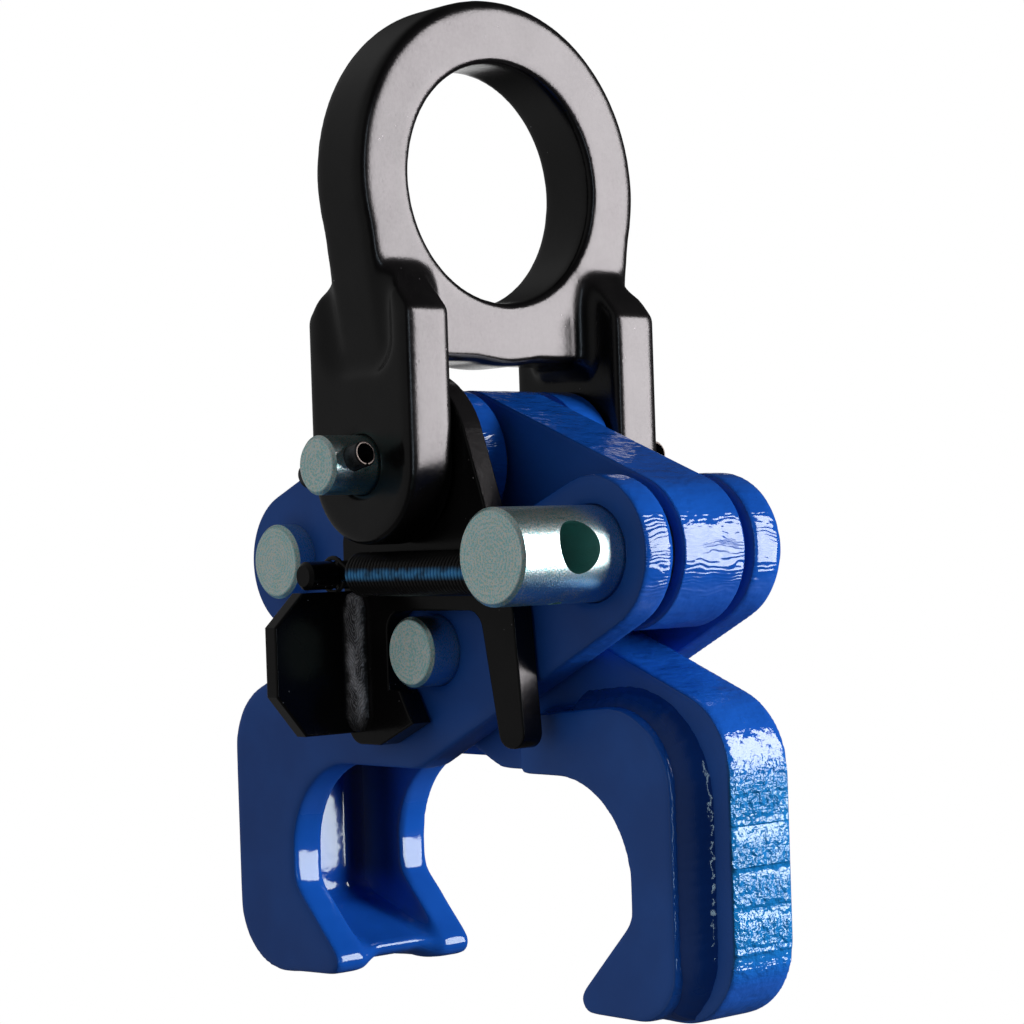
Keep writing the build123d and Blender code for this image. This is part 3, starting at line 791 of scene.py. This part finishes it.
@dataclass(frozen=True)
class GlintBandWire(Finish):
    """Oiled spring wire, near black, with a painted blue glint along the flanks of the coil."""

    axis_z: float
    dark: Colour = (0.020, 0.019, 0.019)
    # Colour of the painted glint: a reflection laid into the wire's colour.
    blue: Colour = (0.09, 0.42, 0.86)
    metal: float = 0.55
    roughness: float = 0.24
    uneven: float = 0.2
    band: Span = (0.19 * MM, 1.9 * MM)
    patch: Span = (0.25, 0.6)
    patch_scale: float = 300.0

    def sockets(self, graph: Graph) -> dict[str, object]:
        """Dark wire with an uneven band of painted blue glint at the height of the coil's axis.

        Args:
            graph: The material's graph.

        Returns:
            Socket names with their values or links.
        """
        point = graph.point()
        patch = graph.noise(point, self.patch_scale)
        away = abs(graph.part(point, Axis.Z) - self.axis_z)
        painted_glint = (1 - graph.ramp(away, *self.band)) * graph.ramp(patch, *self.patch)
        return {
            "Base Color": graph.blend(painted_glint, self.dark, self.blue),
            "Metallic": self.metal,
            "Roughness": self.roughness + (patch - MEAN) * self.uneven,
        }


def add_object(name: str, data: bpy.types.ID) -> bpy.types.Object:
    """Adds an object to the scene.

    Args:
        name: Its name.
        data: Its mesh, lamp or camera.

    Returns:
        The object, at the origin.
    """
    made = bpy.data.objects.new(name, data)
    bpy.context.scene.collection.objects.link(made)
    return made


def harden(piece: bpy.types.Object) -> None:
    """Keeps what the modifiers of a piece make as its plain mesh.

    Args:
        piece: The piece.
    """
    rough = piece.data
    depsgraph = bpy.context.evaluated_depsgraph_get()
    mesh = bpy.data.meshes.new_from_object(piece.evaluated_get(depsgraph), depsgraph=depsgraph)
    piece.modifiers.clear()
    piece.data = mesh
    bpy.data.meshes.remove(rough)
    mesh.name = piece.name


@dataclass(frozen=True)
class Tree:
    """A geometry node tree whose last steps make plain geometry with one material."""

    name: str
    graph: Graph
    inputs: dict[str, str]

    @classmethod
    def start(cls, name: str, sizes: dict[str, str]) -> Tree:
        """Makes an empty tree.

        Args:
            name: The tree's name.
            sizes: Input names with their socket types.

        Returns:
            The tree, with a path as its first input and a material as its last.
        """
        group = bpy.data.node_groups.new(name, "GeometryNodeTree")
        sides = [("Path", "NodeSocketGeometry"), *sizes.items(), ("Material", "NodeSocketMaterial")]
        made = {}
        for label, kind in sides:
            socket = group.interface.new_socket(name=label, in_out="INPUT", socket_type=kind)
            made[label] = socket.identifier
        group.interface.new_socket(name="Mesh", in_out="OUTPUT", socket_type="NodeSocketGeometry")
        return cls(name, Graph(group), made)

    def entry(self) -> bpy.types.Node:
        """The node that gives the tree's inputs."""
        return self.graph.add("NodeGroupInput")

    def keep(self, curve: Socket, kind: str) -> bpy.types.Node:
        """Keeps each point's place along a curve for later steps.

        Args:
            curve: The curve.
            kind: Length in metres, or Factor from 0 to 1.

        Returns:
            A node with the curve and the kept number as its outputs.
        """
        place = self.graph.add("GeometryNodeSplineParameter").outputs[kind]
        node = self.graph.add("GeometryNodeCaptureAttribute", sockets={"Geometry": curve})
        node.capture_items.new("FLOAT", kind)
        self.graph.feed(node.inputs[1], place)
        return node

    def close(self, geometry: Socket) -> None:
        """Ends the tree: smooth shading, real geometry and the material.

        Args:
            geometry: What the tree has made.
        """
        graph = self.graph
        smooth = graph.add("GeometryNodeSetShadeSmooth", sockets={"Geometry": geometry})
        real = graph.add("GeometryNodeRealizeInstances", sockets={"Geometry": smooth.outputs[0]})
        sockets = {"Geometry": real.outputs[0], "Material": self.entry().outputs["Material"]}
        dressed = graph.add("GeometryNodeSetMaterial", sockets=sockets)
        graph.add("NodeGroupOutput", sockets={0: dressed.outputs[0]})

    def grow(self, name: str, points: list[Vector], **sizes: object) -> bpy.types.Object:
        """Runs the tree along a path and keeps the result as a plain mesh.

        Args:
            name: The new piece's name.
            points: The path.
            sizes: The tree's inputs by name.

        Returns:
            The piece, at the origin.
        """
        path = bpy.data.meshes.new(name)
        path.from_pydata(points, [(k, k + 1) for k in range(len(points) - 1)], [])
        piece = add_object(name, path)
        modifier = piece.modifiers.new(self.name, "NODES")
        modifier.node_group = self.graph.tree
        for label, content in sizes.items():
            modifier[self.inputs[label]] = content
        harden(piece)
        return piece


def bead_tree() -> Tree:
    """Tree of a weld bead: a round section swept along a path, with crescent ripples and thin ends.

    Returns:
        The tree, with inputs Radius, Pitch, Ripple and Taper, the share of the length that thins at
        each end.
    """
    steps_per_ripple, section_points, crescents = 8, 36, 4
    thinnest, thinning = 0.4, 0.5
    lag_share, stray, stray_scale = 0.35, 1.6, 260.0
    crest, level, rough, rough_scale = 0.7, 0.6, 0.8, 500.0
    names = ("Radius", "Pitch", "Ripple", "Taper")
    tree = Tree.start("weld_bead", {name: "NodeSocketFloat" for name in names})
    graph = tree.graph
    sizes = tree.entry().outputs
    pitch, ripple = Value(graph, sizes["Pitch"]), Value(graph, sizes["Ripple"])
    curve = graph.add("GeometryNodeMeshToCurve", sockets={"Mesh": sizes["Path"]})
    fine = graph.add("GeometryNodeResampleCurve", {"mode": "LENGTH"}, {
        "Curve": curve.outputs[0], "Length": pitch * (1 / steps_per_ripple)})
    along = tree.keep(fine.outputs[0], "Length")
    section = graph.add("GeometryNodeCurvePrimitiveCircle", sockets={
        "Resolution": section_points, "Radius": sizes["Radius"]})
    around = tree.keep(section.outputs[0], "Factor")
    share = Value(graph, graph.add("GeometryNodeSplineParameter").outputs["Factor"])
    nearest = graph.math("MINIMUM", share, 1 - share)
    full = graph.math("MINIMUM", graph.math("DIVIDE", nearest, Value(graph, sizes["Taper"])), 1.0)
    sweep = graph.add("GeometryNodeCurveToMesh", sockets={
        "Curve": along.outputs[0], "Profile Curve": around.outputs[0], "Fill Caps": True,
        "Scale": graph.raised(full ** thinning, thinnest)})
    place = graph.add("GeometryNodeInputPosition").outputs[0]
    lag = graph.math("COSINE", Value(graph, around.outputs[1]) * (2 * math.pi * crescents)) * lag_share
    travel = graph.math("DIVIDE", Value(graph, along.outputs[1]), pitch)
    phase = (travel + lag + graph.noise(place, stray_scale) * stray) * math.pi
    wave = abs(graph.math("SINE", phase))
    lift = (wave ** crest - level + (graph.noise(place, rough_scale) - MEAN) * rough) * ripple
    normal = graph.add("GeometryNodeInputNormal").outputs[0]
    offset = graph.add("ShaderNodeVectorMath", {"operation": "SCALE"}, {0: normal, "Scale": lift})
    rippled = graph.add("GeometryNodeSetPosition", sockets={
        "Geometry": sweep.outputs[0], "Offset": offset.outputs[0]})
    tree.close(rippled.outputs[0])
    return tree


def wire_tree() -> Tree:
    """Tree of a round wire along a path.

    Returns:
        The tree, with the input Thickness.
    """
    wire_sides = 10
    tree = Tree.start("wire", {"Thickness": "NodeSocketFloat"})
    graph = tree.graph
    sizes = tree.entry().outputs
    curve = graph.add("GeometryNodeMeshToCurve", sockets={"Mesh": sizes["Path"]})
    radius = Value(graph, sizes["Thickness"]) * 0.5
    section = graph.add("GeometryNodeCurvePrimitiveCircle", sockets={
        "Resolution": wire_sides, "Radius": radius})
    wire = graph.add("GeometryNodeCurveToMesh", sockets={
        "Curve": curve.outputs[0], "Profile Curve": section.outputs[0], "Fill Caps": True})
    tree.close(wire.outputs[0])
    return tree


def middle(node: str) -> Vector:
    """Centre of a construction node's box."""
    low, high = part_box(node)
    return (low + high) / 2


def dress(node: str, material: bpy.types.Material) -> None:
    """Gives a construction node its finish.

    Args:
        node: The node's name.
        material: The finish.
    """
    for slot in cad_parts[node].material_slots:
        slot.material = material
    LOG.info("%s has the finish %s", node, material.name)


def settle(piece: bpy.types.Object, body: Body, slot: str, *nodes: str) -> None:
    """Puts a new piece on its body in place of the nodes that it stands for.

    Args:
        piece: The piece, at its place.
        body: The body that it rides on.
        slot: A material slot's name; not used.
        nodes: The construction nodes that it replaces.
    """
    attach(piece, body.value)
    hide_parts(*nodes)
    LOG.info("%s rides on %s with %d faces", piece.name, body.value, len(piece.data.polygons))


@dataclass(frozen=True)
class Flow:
    """How steel in a forging, or weld and paint on plates, flows round corners and edges."""

    cell: float = 0.8 * MM
    fill: float = 3.0 * MM
    passes: int = 6
    ease: float = 0.5
    touching: float = 0.01

    def fuse(self, name: str, *nodes: str) -> bpy.types.Object:
        """Makes one smooth piece of construction nodes.

        It is grown and shrunk again, which fills its inner corners, and then smoothed.

        Args:
            name: The new piece's name.
            nodes: The nodes that go into it.

        Returns:
            The piece, at the origin.
        """
        union = bmesh.new()
        for node in nodes:
            union.from_mesh(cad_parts[node].data)
        bmesh.ops.remove_doubles(union, verts=union.verts, dist=self.cell * self.touching)
        rough = bpy.data.meshes.new(name)
        union.to_mesh(rough)
        union.free()
        piece = add_object(name, rough)
        self.even(piece)
        for growth in (self.fill, -self.fill):
            step = piece.modifiers.new("grow", "DISPLACE")
            step.mid_level = 0.0
            step.strength = growth
            self.even(piece)
        smooth = piece.modifiers.new("smooth", "SMOOTH")
        smooth.factor = self.ease
        smooth.iterations = self.passes
        harden(piece)
        piece.data.materials.clear()
        return piece

    def even(self, piece: bpy.types.Object) -> None:
        """Adds a step that rebuilds the piece's skin with even cells.

        Args:
            piece: The piece.
        """
        step = piece.modifiers.new("even", "REMESH")
        step.mode = "VOXEL"
        step.voxel_size = self.cell
        step.use_smooth_shade = True


def soft_step(share: float) -> float:
    """A soft step from 0 at a share of 0 to 1 at a share of 1."""
    share = min(max(share, 0.0), 1.0)
    return share * share * (3 - 2 * share)


def rounded(corners: list[Triple], y: float) -> list[Vector]:
    """A line in X and Z with rounded corners.

    Args:
        corners: X, Z and the corner's radius; the radius of the two ends isn't used.
        y: The line's place along Y.

    Returns:
        Points along it.
    """
    spots = [Vector((x, y, z)) for x, z, _ in corners]
    line = [spots[0]]
    for before, spot, after, (_, _, radius) in zip(spots, spots[1:], spots[2:], corners[1:]):
        back, ahead = (before - spot).normalized(), (after - spot).normalized()
        half = back.angle(ahead) / 2
        centre = spot + (back + ahead).normalized() * (radius / math.sin(half))
        first = spot + back * (radius / math.tan(half)) - centre
        last = spot + ahead * (radius / math.tan(half)) - centre
        line.extend(centre + first.slerp(last, k / ARC_STEPS) * radius for k in range(ARC_STEPS + 1))
    return [*line, spots[-1]]


@dataclass
class Bail:
    """Forged lifting bail, with the soft edges and filled corners of a forging."""

    finish: Finish = field(default_factory=SatinBlack)
    flow: Flow = Flow(fill=3.5 * MM, passes=8)

    def build(self) -> None:
        """Makes the forging from the construction node."""
        piece = self.flow.fuse("bail_forging", "bail")
        piece.data.materials.append(self.finish.material("forged_black"))
        settle(piece, Body.BAIL, "forged_black", "bail")


@dataclass
class LeftJaw:
    """Left jaw: two plates with a wall, a floor and welds between them under one coat of paint."""

    paint: Finish = field(default_factory=lambda: ShadedEnamel(drag_foot=-115.0 * MM))
    flow: Flow = Flow(cell=0.85 * MM, fill=3.5 * MM, passes=6)
    lip_scoop: float = 2.0 * MM
    lip_undercut: float = 2.2 * MM
    lip_thickness: float = 8.0 * MM
    lip_blend: float = 7.0 * MM
    lip_start: float = 15.0 * MM
    lip_depth: float = 2.0

    def build(self) -> None:
        """Makes the welded jaw in one piece."""
        nodes = ("left_jaw_front_plate", "left_jaw_rear_plate", "left_jaw_back_wall", "left_jaw_lip",
                 "left_jaw_welds")
        piece = self.flow.fuse("left_jaw_weldment", *nodes)
        self.thin_lip(piece.data)
        piece.data.materials.append(self.paint.material("blue_left_jaw"))
        settle(piece, Body.LEFT_JAW, "clamp_blue", *nodes)

    def thin_lip(self, mesh: bpy.types.Mesh) -> None:
        """Scoops out the underside of the floor between the plates, most in the middle.

        Args:
            mesh: The fused jaw.
        """
        low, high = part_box("left_jaw_lip")
        fall = (high.z - low.z - self.lip_thickness) / (high.x - low.x)
        for vertex in mesh.vertices:
            place = vertex.co
            inside = min(place.y - low.y, high.y - place.y) / self.lip_blend
            under = (high.z - fall * (place.x - low.x) - place.z) / self.lip_thickness
            if inside > 0 and 0 < under < self.lip_depth:
                share = soft_step(inside) * min(under, 1.0) * soft_step((place.x - low.x) / self.lip_start)
                place.z += self.lip_scoop * share
                place.x -= self.lip_undercut * share


@dataclass
class RightJaw:
    """Right jaw: a thick plate with a cheek on each side, and the beads round the cheeks."""

    bead: Tree
    # The right jaw's enamel is lighter than the same enamel on the links and the left jaw: painted light.
    paint: Finish = field(default_factory=lambda: BlueEnamel(
        deep=(0.0075, 0.090, 0.46), bright=(0.0100, 0.115, 0.56), gloss=0.59, drag=0.0, pits=1.5,
        pits_top=-139.0 * MM, pits_foot=-183.0 * MM, pits_side=77.0 * MM, pits_fade=6.0 * MM,
        torch=0.22, painted_sheen=0.8))
    # The beads' enamel is darker than the same enamel elsewhere: painted shade on the beads.
    shaded_bead_paint: Finish = field(default_factory=lambda: BlueEnamel(
        deep=(0.004, 0.045, 0.26), bright=(0.005, 0.055, 0.31), drag=0.0, sag=0.2))
    flow: Flow = Flow(cell=0.8 * MM, fill=1.0 * MM, passes=4)
    sink: float = 3.5 * MM
    radius: float = 10.0 * MM
    start: float = 36.0 * MM
    slope: float = 0.0994
    top_round: float = 16.5 * MM
    bottom_round: float = 9.5 * MM
    foot_rise: float = 13.0 * MM
    pitch: float = 3.2 * MM
    ripple: float = 0.2 * MM
    taper: float = 0.06

    def build(self) -> None:
        """Makes the plate with its cheeks in one piece."""
        nodes = ("right_jaw_plate", "right_jaw_cheek_front", "right_jaw_cheek_rear")
        piece = self.flow.fuse("right_jaw_weldment", *nodes)
        piece.data.materials.append(self.paint.material("blue_right_jaw"))
        settle(piece, Body.RIGHT_JAW, "clamp_blue", *nodes)

    def build_welds(self) -> None:
        """Lays a painted bead round the outer edge of each cheek."""
        paint = self.shaded_bead_paint.material("blue_weld_painted_shade")
        for side, inward in (("front", 1), ("rear", -1)):
            low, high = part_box(f"right_jaw_cheek_{side}")
            root = high.y if inward > 0 else low.y
            outer, top = high.x - self.sink, high.z - self.sink
            foot = low.z + self.foot_rise
            path = rounded([
                (self.start, top - (outer - self.start) * self.slope, 0.0),
                (outer, top, self.top_round),
                (outer, foot, self.bottom_round),
                (outer - self.bottom_round, foot - self.bottom_round, 0.0),
            ], root + inward * self.sink)
            piece = self.bead.grow(f"right_jaw_bead_{side}", path, Radius=self.radius, Pitch=self.pitch,
                                   Ripple=self.ripple, Taper=self.taper, Material=paint)
            settle(piece, Body.RIGHT_JAW, "clamp_blue", f"right_jaw_weld_{side}")


@dataclass
class Pins:
    """Turned pins, their roll pins and the spacer washers."""

    turned: tuple[str, ...] = ("shackle_pin", "left_eye_pin", "centre_pin", "spring_pin")
    washers: tuple[str, ...] = ("link_washers", "jaw_washers")
    roll_radius: float = 3.0 * MM
    roll_length: float = 23.0 * MM
    roll_wall: float = 0.6 * MM
    roll_chamfer: float = 0.35 * MM
    roll_slit: float = 0.8 * MM
    roll_turn: float = 11.5
    roll_steps: int = 36
    roll_ends: Colour = (0.05, 0.043, 0.038)
    washer_roughness: float = 0.45

    def build_roll_pins(self) -> None:
        """Makes the two slit spring pins across the shackle pin's ends."""
        low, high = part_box("shackle_roll_pins")
        centre = (low + high) / 2
        tubes = bmesh.new()
        for depth in (low.y + self.roll_radius, high.y - self.roll_radius):
            self.add_tube(tubes, Vector((centre.x, depth, centre.z)))
        mesh = bpy.data.meshes.new("shackle_spring_pins")
        bmesh.ops.recalc_face_normals(tubes, faces=tubes.faces)
        tubes.to_mesh(mesh)
        tubes.free()
        piece = add_object("shackle_spring_pins", mesh)
        mesh.materials.append(DarkSteel(bright_ends=self.roll_ends).material("roll_pin_steel"))
        settle(piece, Body.SHACKLE, "roll_pin_dark", "shackle_roll_pins")

    def add_tube(self, tubes: bmesh.types.BMesh, centre: Vector) -> None:
        """Adds one slit tube with chamfered ends, its right end raised.

        Args:
            tubes: The mesh that it goes into.
            centre: The tube's middle.
        """
        turn = Matrix.Rotation(-math.radians(self.roll_turn), 3, "Y")
        half, outer, chamfer = self.roll_length / 2, self.roll_radius, self.roll_chamfer
        inner = outer - self.roll_wall
        section = [(-half, inner), (-half, outer - chamfer), (-half + chamfer, outer),
                   (half - chamfer, outer), (half, outer - chamfer), (half, inner)]
        gap = self.roll_slit / (2 * outer)
        rows = []
        for k in range(self.roll_steps + 1):
            angle = -math.pi / 2 + gap + (2 * math.pi - 2 * gap) * k / self.roll_steps
            across = Vector((0.0, math.cos(angle), math.sin(angle)))
            spots = (Vector((along, 0.0, 0.0)) + across * reach for along, reach in section)
            rows.append([tubes.verts.new(centre + turn @ spot) for spot in spots])
        for row, after in zip(rows, rows[1:]):
            for k in range(len(section)):
                tubes.faces.new((row[k - 1], row[k], after[k], after[k - 1]))
        tubes.faces.new(rows[0])
        tubes.faces.new(rows[-1])

    def dress(self) -> None:
        """Plates the turned pins and blackens the small ones."""
        for node in self.turned:
            low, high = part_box(node)
            finish = ZincPlate(centre=middle(node), half_length=(high.y - low.y) / 2)
            dress(node, finish.material(f"zinc_{node}"))
        dress("spring_anchor", DarkSteel().material("anchor_steel"))
        washer = DarkSteel(roughness=self.washer_roughness).material("washer_steel")
        for node in self.washers:
            dress(node, washer)


@dataclass
class Links:
    """Blue links between the top pin and the jaws' eyes."""

    paint: Finish = field(default_factory=BlueEnamel)

    def dress(self) -> None:
        """Paints every link."""
        paint = self.paint.material("blue_links")
        for node in ("left_link_front", "left_link_rear", "right_link"):
            dress(node, paint)


@dataclass
class Lock:
    """Lock plate with its thumb plate, weld, post and spring."""

    bead: Tree
    wire: Tree
    coat: Finish = field(default_factory=lambda: SatinBlack(
        roughness=0.18, dents=40.0, depth=0.03 * MM, shine=0.25,
        base=(0.0055, 0.0053, 0.0055), worn=(0.010, 0.0096, 0.010)))
    weld_swell: float = 1.25
    weld_press: float = 0.33
    weld_inset: float = 0.1
    weld_pitch: float = 0.95 * MM
    weld_ripple: float = 0.16 * MM
    weld_taper: float = 0.10
    spring_wire: float = 1.2 * MM
    points_per_turn: int = 24
    coil_start: float = 11.0 * MM
    coil_gap: float = 1.0 * MM
    coil_lead: float = 3.0 * MM
    coil_tail: float = 2.0 * MM
    loop_slack: float = 0.6
    loop_turn: float = -160.0
    loop_points: int = 18
    anchor_lead: float = 3.2 * MM
    anchor_radius: float = 2.5 * MM
    anchor_turn: float = -150.0
    anchor_points: int = 14
    hook_sweep: float = 300.0

    def dress(self) -> None:
        """Gives the plates and the post their black coat."""
        coat = self.coat.material("lock_black")
        for node in ("lock_plate", "lock_thumb_plate", "spring_post"):
            dress(node, coat)

    def build_weld(self) -> None:
        """Makes the bead in the corner between the thumb plate and the lock plate."""
        low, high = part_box("lock_weld")
        leg = high.x - low.x
        top = Vector((low.x, high.y, high.z - leg * self.weld_inset))
        foot = Vector((low.x, high.y, low.z + leg * self.weld_inset))
        steel = WeldSteel(top, leg, high.z - low.z).material("weld_bare")
        piece = self.bead.grow("lock_weld_bead", [top, foot], Radius=leg * self.weld_swell,
                               Pitch=self.weld_pitch, Ripple=self.weld_ripple, Taper=self.weld_taper,
                               Material=steel)
        outward = Vector((1.0, -1.0, 0.0)).normalized()
        for vertex in piece.data.vertices:
            vertex.co -= outward * ((vertex.co - top).dot(outward) * self.weld_press)
        settle(piece, Body.LOCK, "weld_dark", "lock_weld")

    def build_spring(self) -> None:
        """Winds the spring between the post and the small pin."""
        low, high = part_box("lock_spring")
        post_low, post_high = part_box("spring_post")
        pin_low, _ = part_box("spring_pin")
        axis = Vector((0.0, (low.y + high.y) / 2, (low.z + high.z) / 2))
        post_x, anchor_x = middle("spring_post").x, middle("spring_anchor").x
        loop = (post_high.x - post_low.x) / 2 + self.spring_wire * self.loop_slack
        start = post_x + self.coil_start
        turns = int((pin_low.x - self.coil_gap - start) / self.spring_wire)
        tail = start + self.spring_wire * turns
        mean = (high.z - low.z) / 2 - self.spring_wire / 2
        along, level, upright = (Vector(row) for row in Matrix.Identity(3))
        points = self.hook(axis + along * post_x, loop, upright, self.loop_turn, self.loop_points)
        points.append(axis + along * (start - self.coil_lead))
        for k in range(turns * self.points_per_turn + 1):
            turn = k / self.points_per_turn
            angle = 2 * math.pi * turn
            out = level * math.cos(angle) + upright * math.sin(angle)
            points.append(axis + along * (start + self.spring_wire * turn) + out * mean)
        points.append(axis + along * (tail + self.coil_tail))
        points.append(axis + along * (anchor_x - self.anchor_lead))
        points += self.hook(axis + along * anchor_x, self.anchor_radius, level, self.anchor_turn,
                            self.anchor_points)
        steel = GlintBandWire(axis.z).material("spring_steel")
        piece = self.wire.grow("lock_spring_coil", points, Thickness=self.spring_wire, Material=steel)
        settle(piece, Body.LOCK, "spring_dark", "lock_spring")

    def hook(self, centre: Vector, radius: float, side: Vector, turn: float, count: int) -> list[Vector]:
        """Points of an open hook with its gap on the side of +X.

        Args:
            centre: The hook's centre.
            radius: Its radius.
            side: The direction that spans it together with X.
            turn: The angle of its first point, in degrees.
            count: How many points it has.

        Returns:
            The points.
        """
        angles = [math.radians(turn + self.hook_sweep * k / (count - 1)) for k in range(count)]
        return [centre + side * (radius * math.sin(angle)) - Vector((radius * math.cos(angle), 0.0, 0.0))
                for angle in angles]


@dataclass(frozen=True)
class ViewPoint:
    """The camera's place, as a direction, a distance and a point that it looks at."""

    azimuth: float = 48.63
    elevation: float = 0.73
    roll: float = -1.86
    distance: float = 0.64642
    lens: float = 92.0
    sensor: float = 36.0
    shift_y: float = 0.0602
    clip: Span = (0.01, 100.0)

    def axes(self) -> tuple[Vector, Vector, Vector]:
        """Axes of the camera in the frame.

        Returns:
            Directions to its right, upwards and back from what it sees.
        """
        turn, rise, tilt = (math.radians(v) for v in (self.azimuth, self.elevation, self.roll))
        back = Vector((math.sin(turn) * math.cos(rise), -math.cos(turn) * math.cos(rise), math.sin(rise)))
        level = Vector((math.cos(turn), math.sin(turn), 0.0))
        upright = back.cross(level)
        right = level * math.cos(tilt) + upright * math.sin(tilt)
        return right, back.cross(right), back


@dataclass(frozen=True)
class Lamp:
    """A soft rectangular lamp that faces the clamp's middle."""

    name: str
    direction: Vector
    radiance: float
    size: Span
    distance: float
    colour: Colour = (1.0, 0.94, 0.967)

    def hang(self) -> None:
        """Puts the lamp in the scene, out of the camera's sight."""
        data = bpy.data.lights.new(self.name, "AREA")
        data.shape = "RECTANGLE"
        data.size, data.size_y = self.size
        data.energy = self.radiance * math.pi * self.size[0] * self.size[1]
        data.color = self.colour
        lamp = add_object(self.name, data)
        low, high = CAD_BOX
        away = self.direction.normalized()
        turn = away.to_track_quat("Z", "Y").to_matrix().to_4x4()
        lamp.matrix_world = Matrix.Translation((low + high) / 2 + away * self.distance) @ turn
        lamp.visible_camera = False


@dataclass
class Studio:
    """Camera, lamps, floor and surroundings."""

    view: ViewPoint = field(default_factory=ViewPoint)
    pivot: Triple = (0.0, 3.2 * MM, -68.0 * MM)
    aim_right: float = 3.33 * MM
    aim_up: float = -27.06 * MM
    floor_drop: float = 2.2
    floor_size: float = 4.0
    floor_tone: Colour = (0.30, 0.30, 0.30)
    floor_white: float = 0.8
    floor_far: Span = (0.3, 1.6)
    fill: float = 0.35
    sheen: float = 0.20
    gloom: float = 0.03
    fill_side: Triple = (-0.6, -0.79, 0.1)
    fill_spread: Span = (0.0, 0.6)
    backdrop: Span = (0.95, 0.995)
    softbox_right: float = 0.99
    softbox_back: float = 0.120
    softbox_up: float = 0.128
    softbox_radiance: float = 13.2
    softbox_size: Span = (0.372, 0.625)
    softbox_distance: float = 0.8
    strip_side: Triple = (1.0, -0.08, 0.1)
    strip_radiance: float = 6.0
    strip_size: Span = (0.05, 0.7)
    strip_distance: float = 1.0
    strip_colour: Colour = (0.72, 0.86, 1.0)

    def build_camera(self) -> None:
        """Makes the camera at the view point."""
        right, upright, back = self.view.axes()
        aim = Vector(self.pivot) + right * self.aim_right + upright * self.aim_up
        data = bpy.data.cameras.new("camera")
        data.lens = self.view.lens
        data.sensor_width = self.view.sensor
        data.shift_y = self.view.shift_y
        data.clip_start, data.clip_end = self.view.clip
        camera = add_object("camera", data)
        turn = Matrix((right, upright, back)).transposed().to_4x4()
        camera.matrix_world = Matrix.Translation(aim + back * self.view.distance) @ turn
        bpy.context.scene.camera = camera

    def build_lamps(self) -> None:
        """Hangs the large softbox on the clamp's right and a weak strip beside the camera."""
        right, _, back = self.view.axes()
        up = Vector((0.0, 0.0, self.softbox_up))
        away = right * self.softbox_right + back * self.softbox_back + up
        Lamp("softbox", away, self.softbox_radiance, self.softbox_size, self.softbox_distance).hang()
        Lamp("side_strip", Vector(self.strip_side), self.strip_radiance, self.strip_size,
             self.strip_distance, self.strip_colour).hang()

    def build_world(self) -> None:
        """White behind the clamp for the camera and in mirrors, a weak fill, and gloom elsewhere."""
        world = bpy.data.worlds.new("studio")
        graph = Graph.blank(world)
        _, _, back = self.view.axes()
        direction = graph.add("ShaderNodeTexCoord").outputs["Generated"]
        backdrop = graph.ramp(graph.towards(direction, tuple(-back)), *self.backdrop)
        front = graph.ramp(graph.towards(direction, self.fill_side), *self.fill_spread)
        path = graph.add("ShaderNodeLightPath").outputs
        camera = Value(graph, path["Is Camera Ray"])
        mirror = Value(graph, path["Is Glossy Ray"]) + Value(graph, path["Is Transmission Ray"])
        matt = self.gloom + front * (self.fill - self.gloom)
        glossy = self.gloom + front * (self.sheen - self.gloom) + backdrop * (1.0 - self.gloom)
        level = camera + (1 - camera) * (matt + mirror * (glossy - matt))
        shade = graph.add("ShaderNodeBackground", sockets={"Color": WHITE, "Strength": level})
        graph.add("ShaderNodeOutputWorld", sockets={"Surface": shade.outputs[0]})
        bpy.context.scene.world = world

    def build_floor(self) -> None:
        """A plain pale floor, well below the hanging clamp."""
        half = self.floor_size / 2
        z = CAD_BOX[0].z - self.floor_drop
        mesh = bpy.data.meshes.new("floor")
        corners = [(-half, -half, z), (half, -half, z), (half, half, z), (-half, half, z)]
        mesh.from_pydata(corners, [], [(0, 1, 2, 3)])
        floor = add_object("floor", mesh)
        material = bpy.data.materials.new("floor_pale")
        graph = Graph.blank(material)
        matt = graph.add("ShaderNodeBsdfDiffuse", sockets={"Color": graph.opaque(self.floor_tone)})
        glow = graph.add("ShaderNodeEmission", sockets={"Color": WHITE})
        camera = Value(graph, graph.add("ShaderNodeLightPath").outputs["Is Camera Ray"])
        side_x, side_y, _ = graph.parts(graph.point())
        far = graph.ramp(graph.hypot(side_x, side_y), *self.floor_far)
        white = camera * graph.raised(far, self.floor_white)
        mix = graph.add("ShaderNodeMixShader", sockets={0: white, 1: matt.outputs[0], 2: glow.outputs[0]})
        graph.add("ShaderNodeOutputMaterial", sockets={"Surface": mix.outputs[0]})
        mesh.materials.append(material)

    def build(self) -> None:
        """Sets up the whole studio."""
        bpy.context.scene.view_settings.view_transform = "Standard"
        self.build_camera()
        self.build_world()
        self.build_floor()
        self.build_lamps()


def main() -> None:
    """Builds and dresses the clamp, piece by piece."""
    logging.basicConfig(level=logging.INFO, format="%(name)s: %(message)s")
    Studio().build()
    Bail().build()
    pins = Pins()
    pins.dress()
    pins.build_roll_pins()
    Links().dress()
    LeftJaw().build()
    bead = bead_tree()
    right_jaw = RightJaw(bead)
    right_jaw.build()
    right_jaw.build_welds()
    lock = Lock(bead, wire_tree())
    lock.dress()
    lock.build_weld()
    lock.build_spring()


if __name__ == "__main__":
    main()
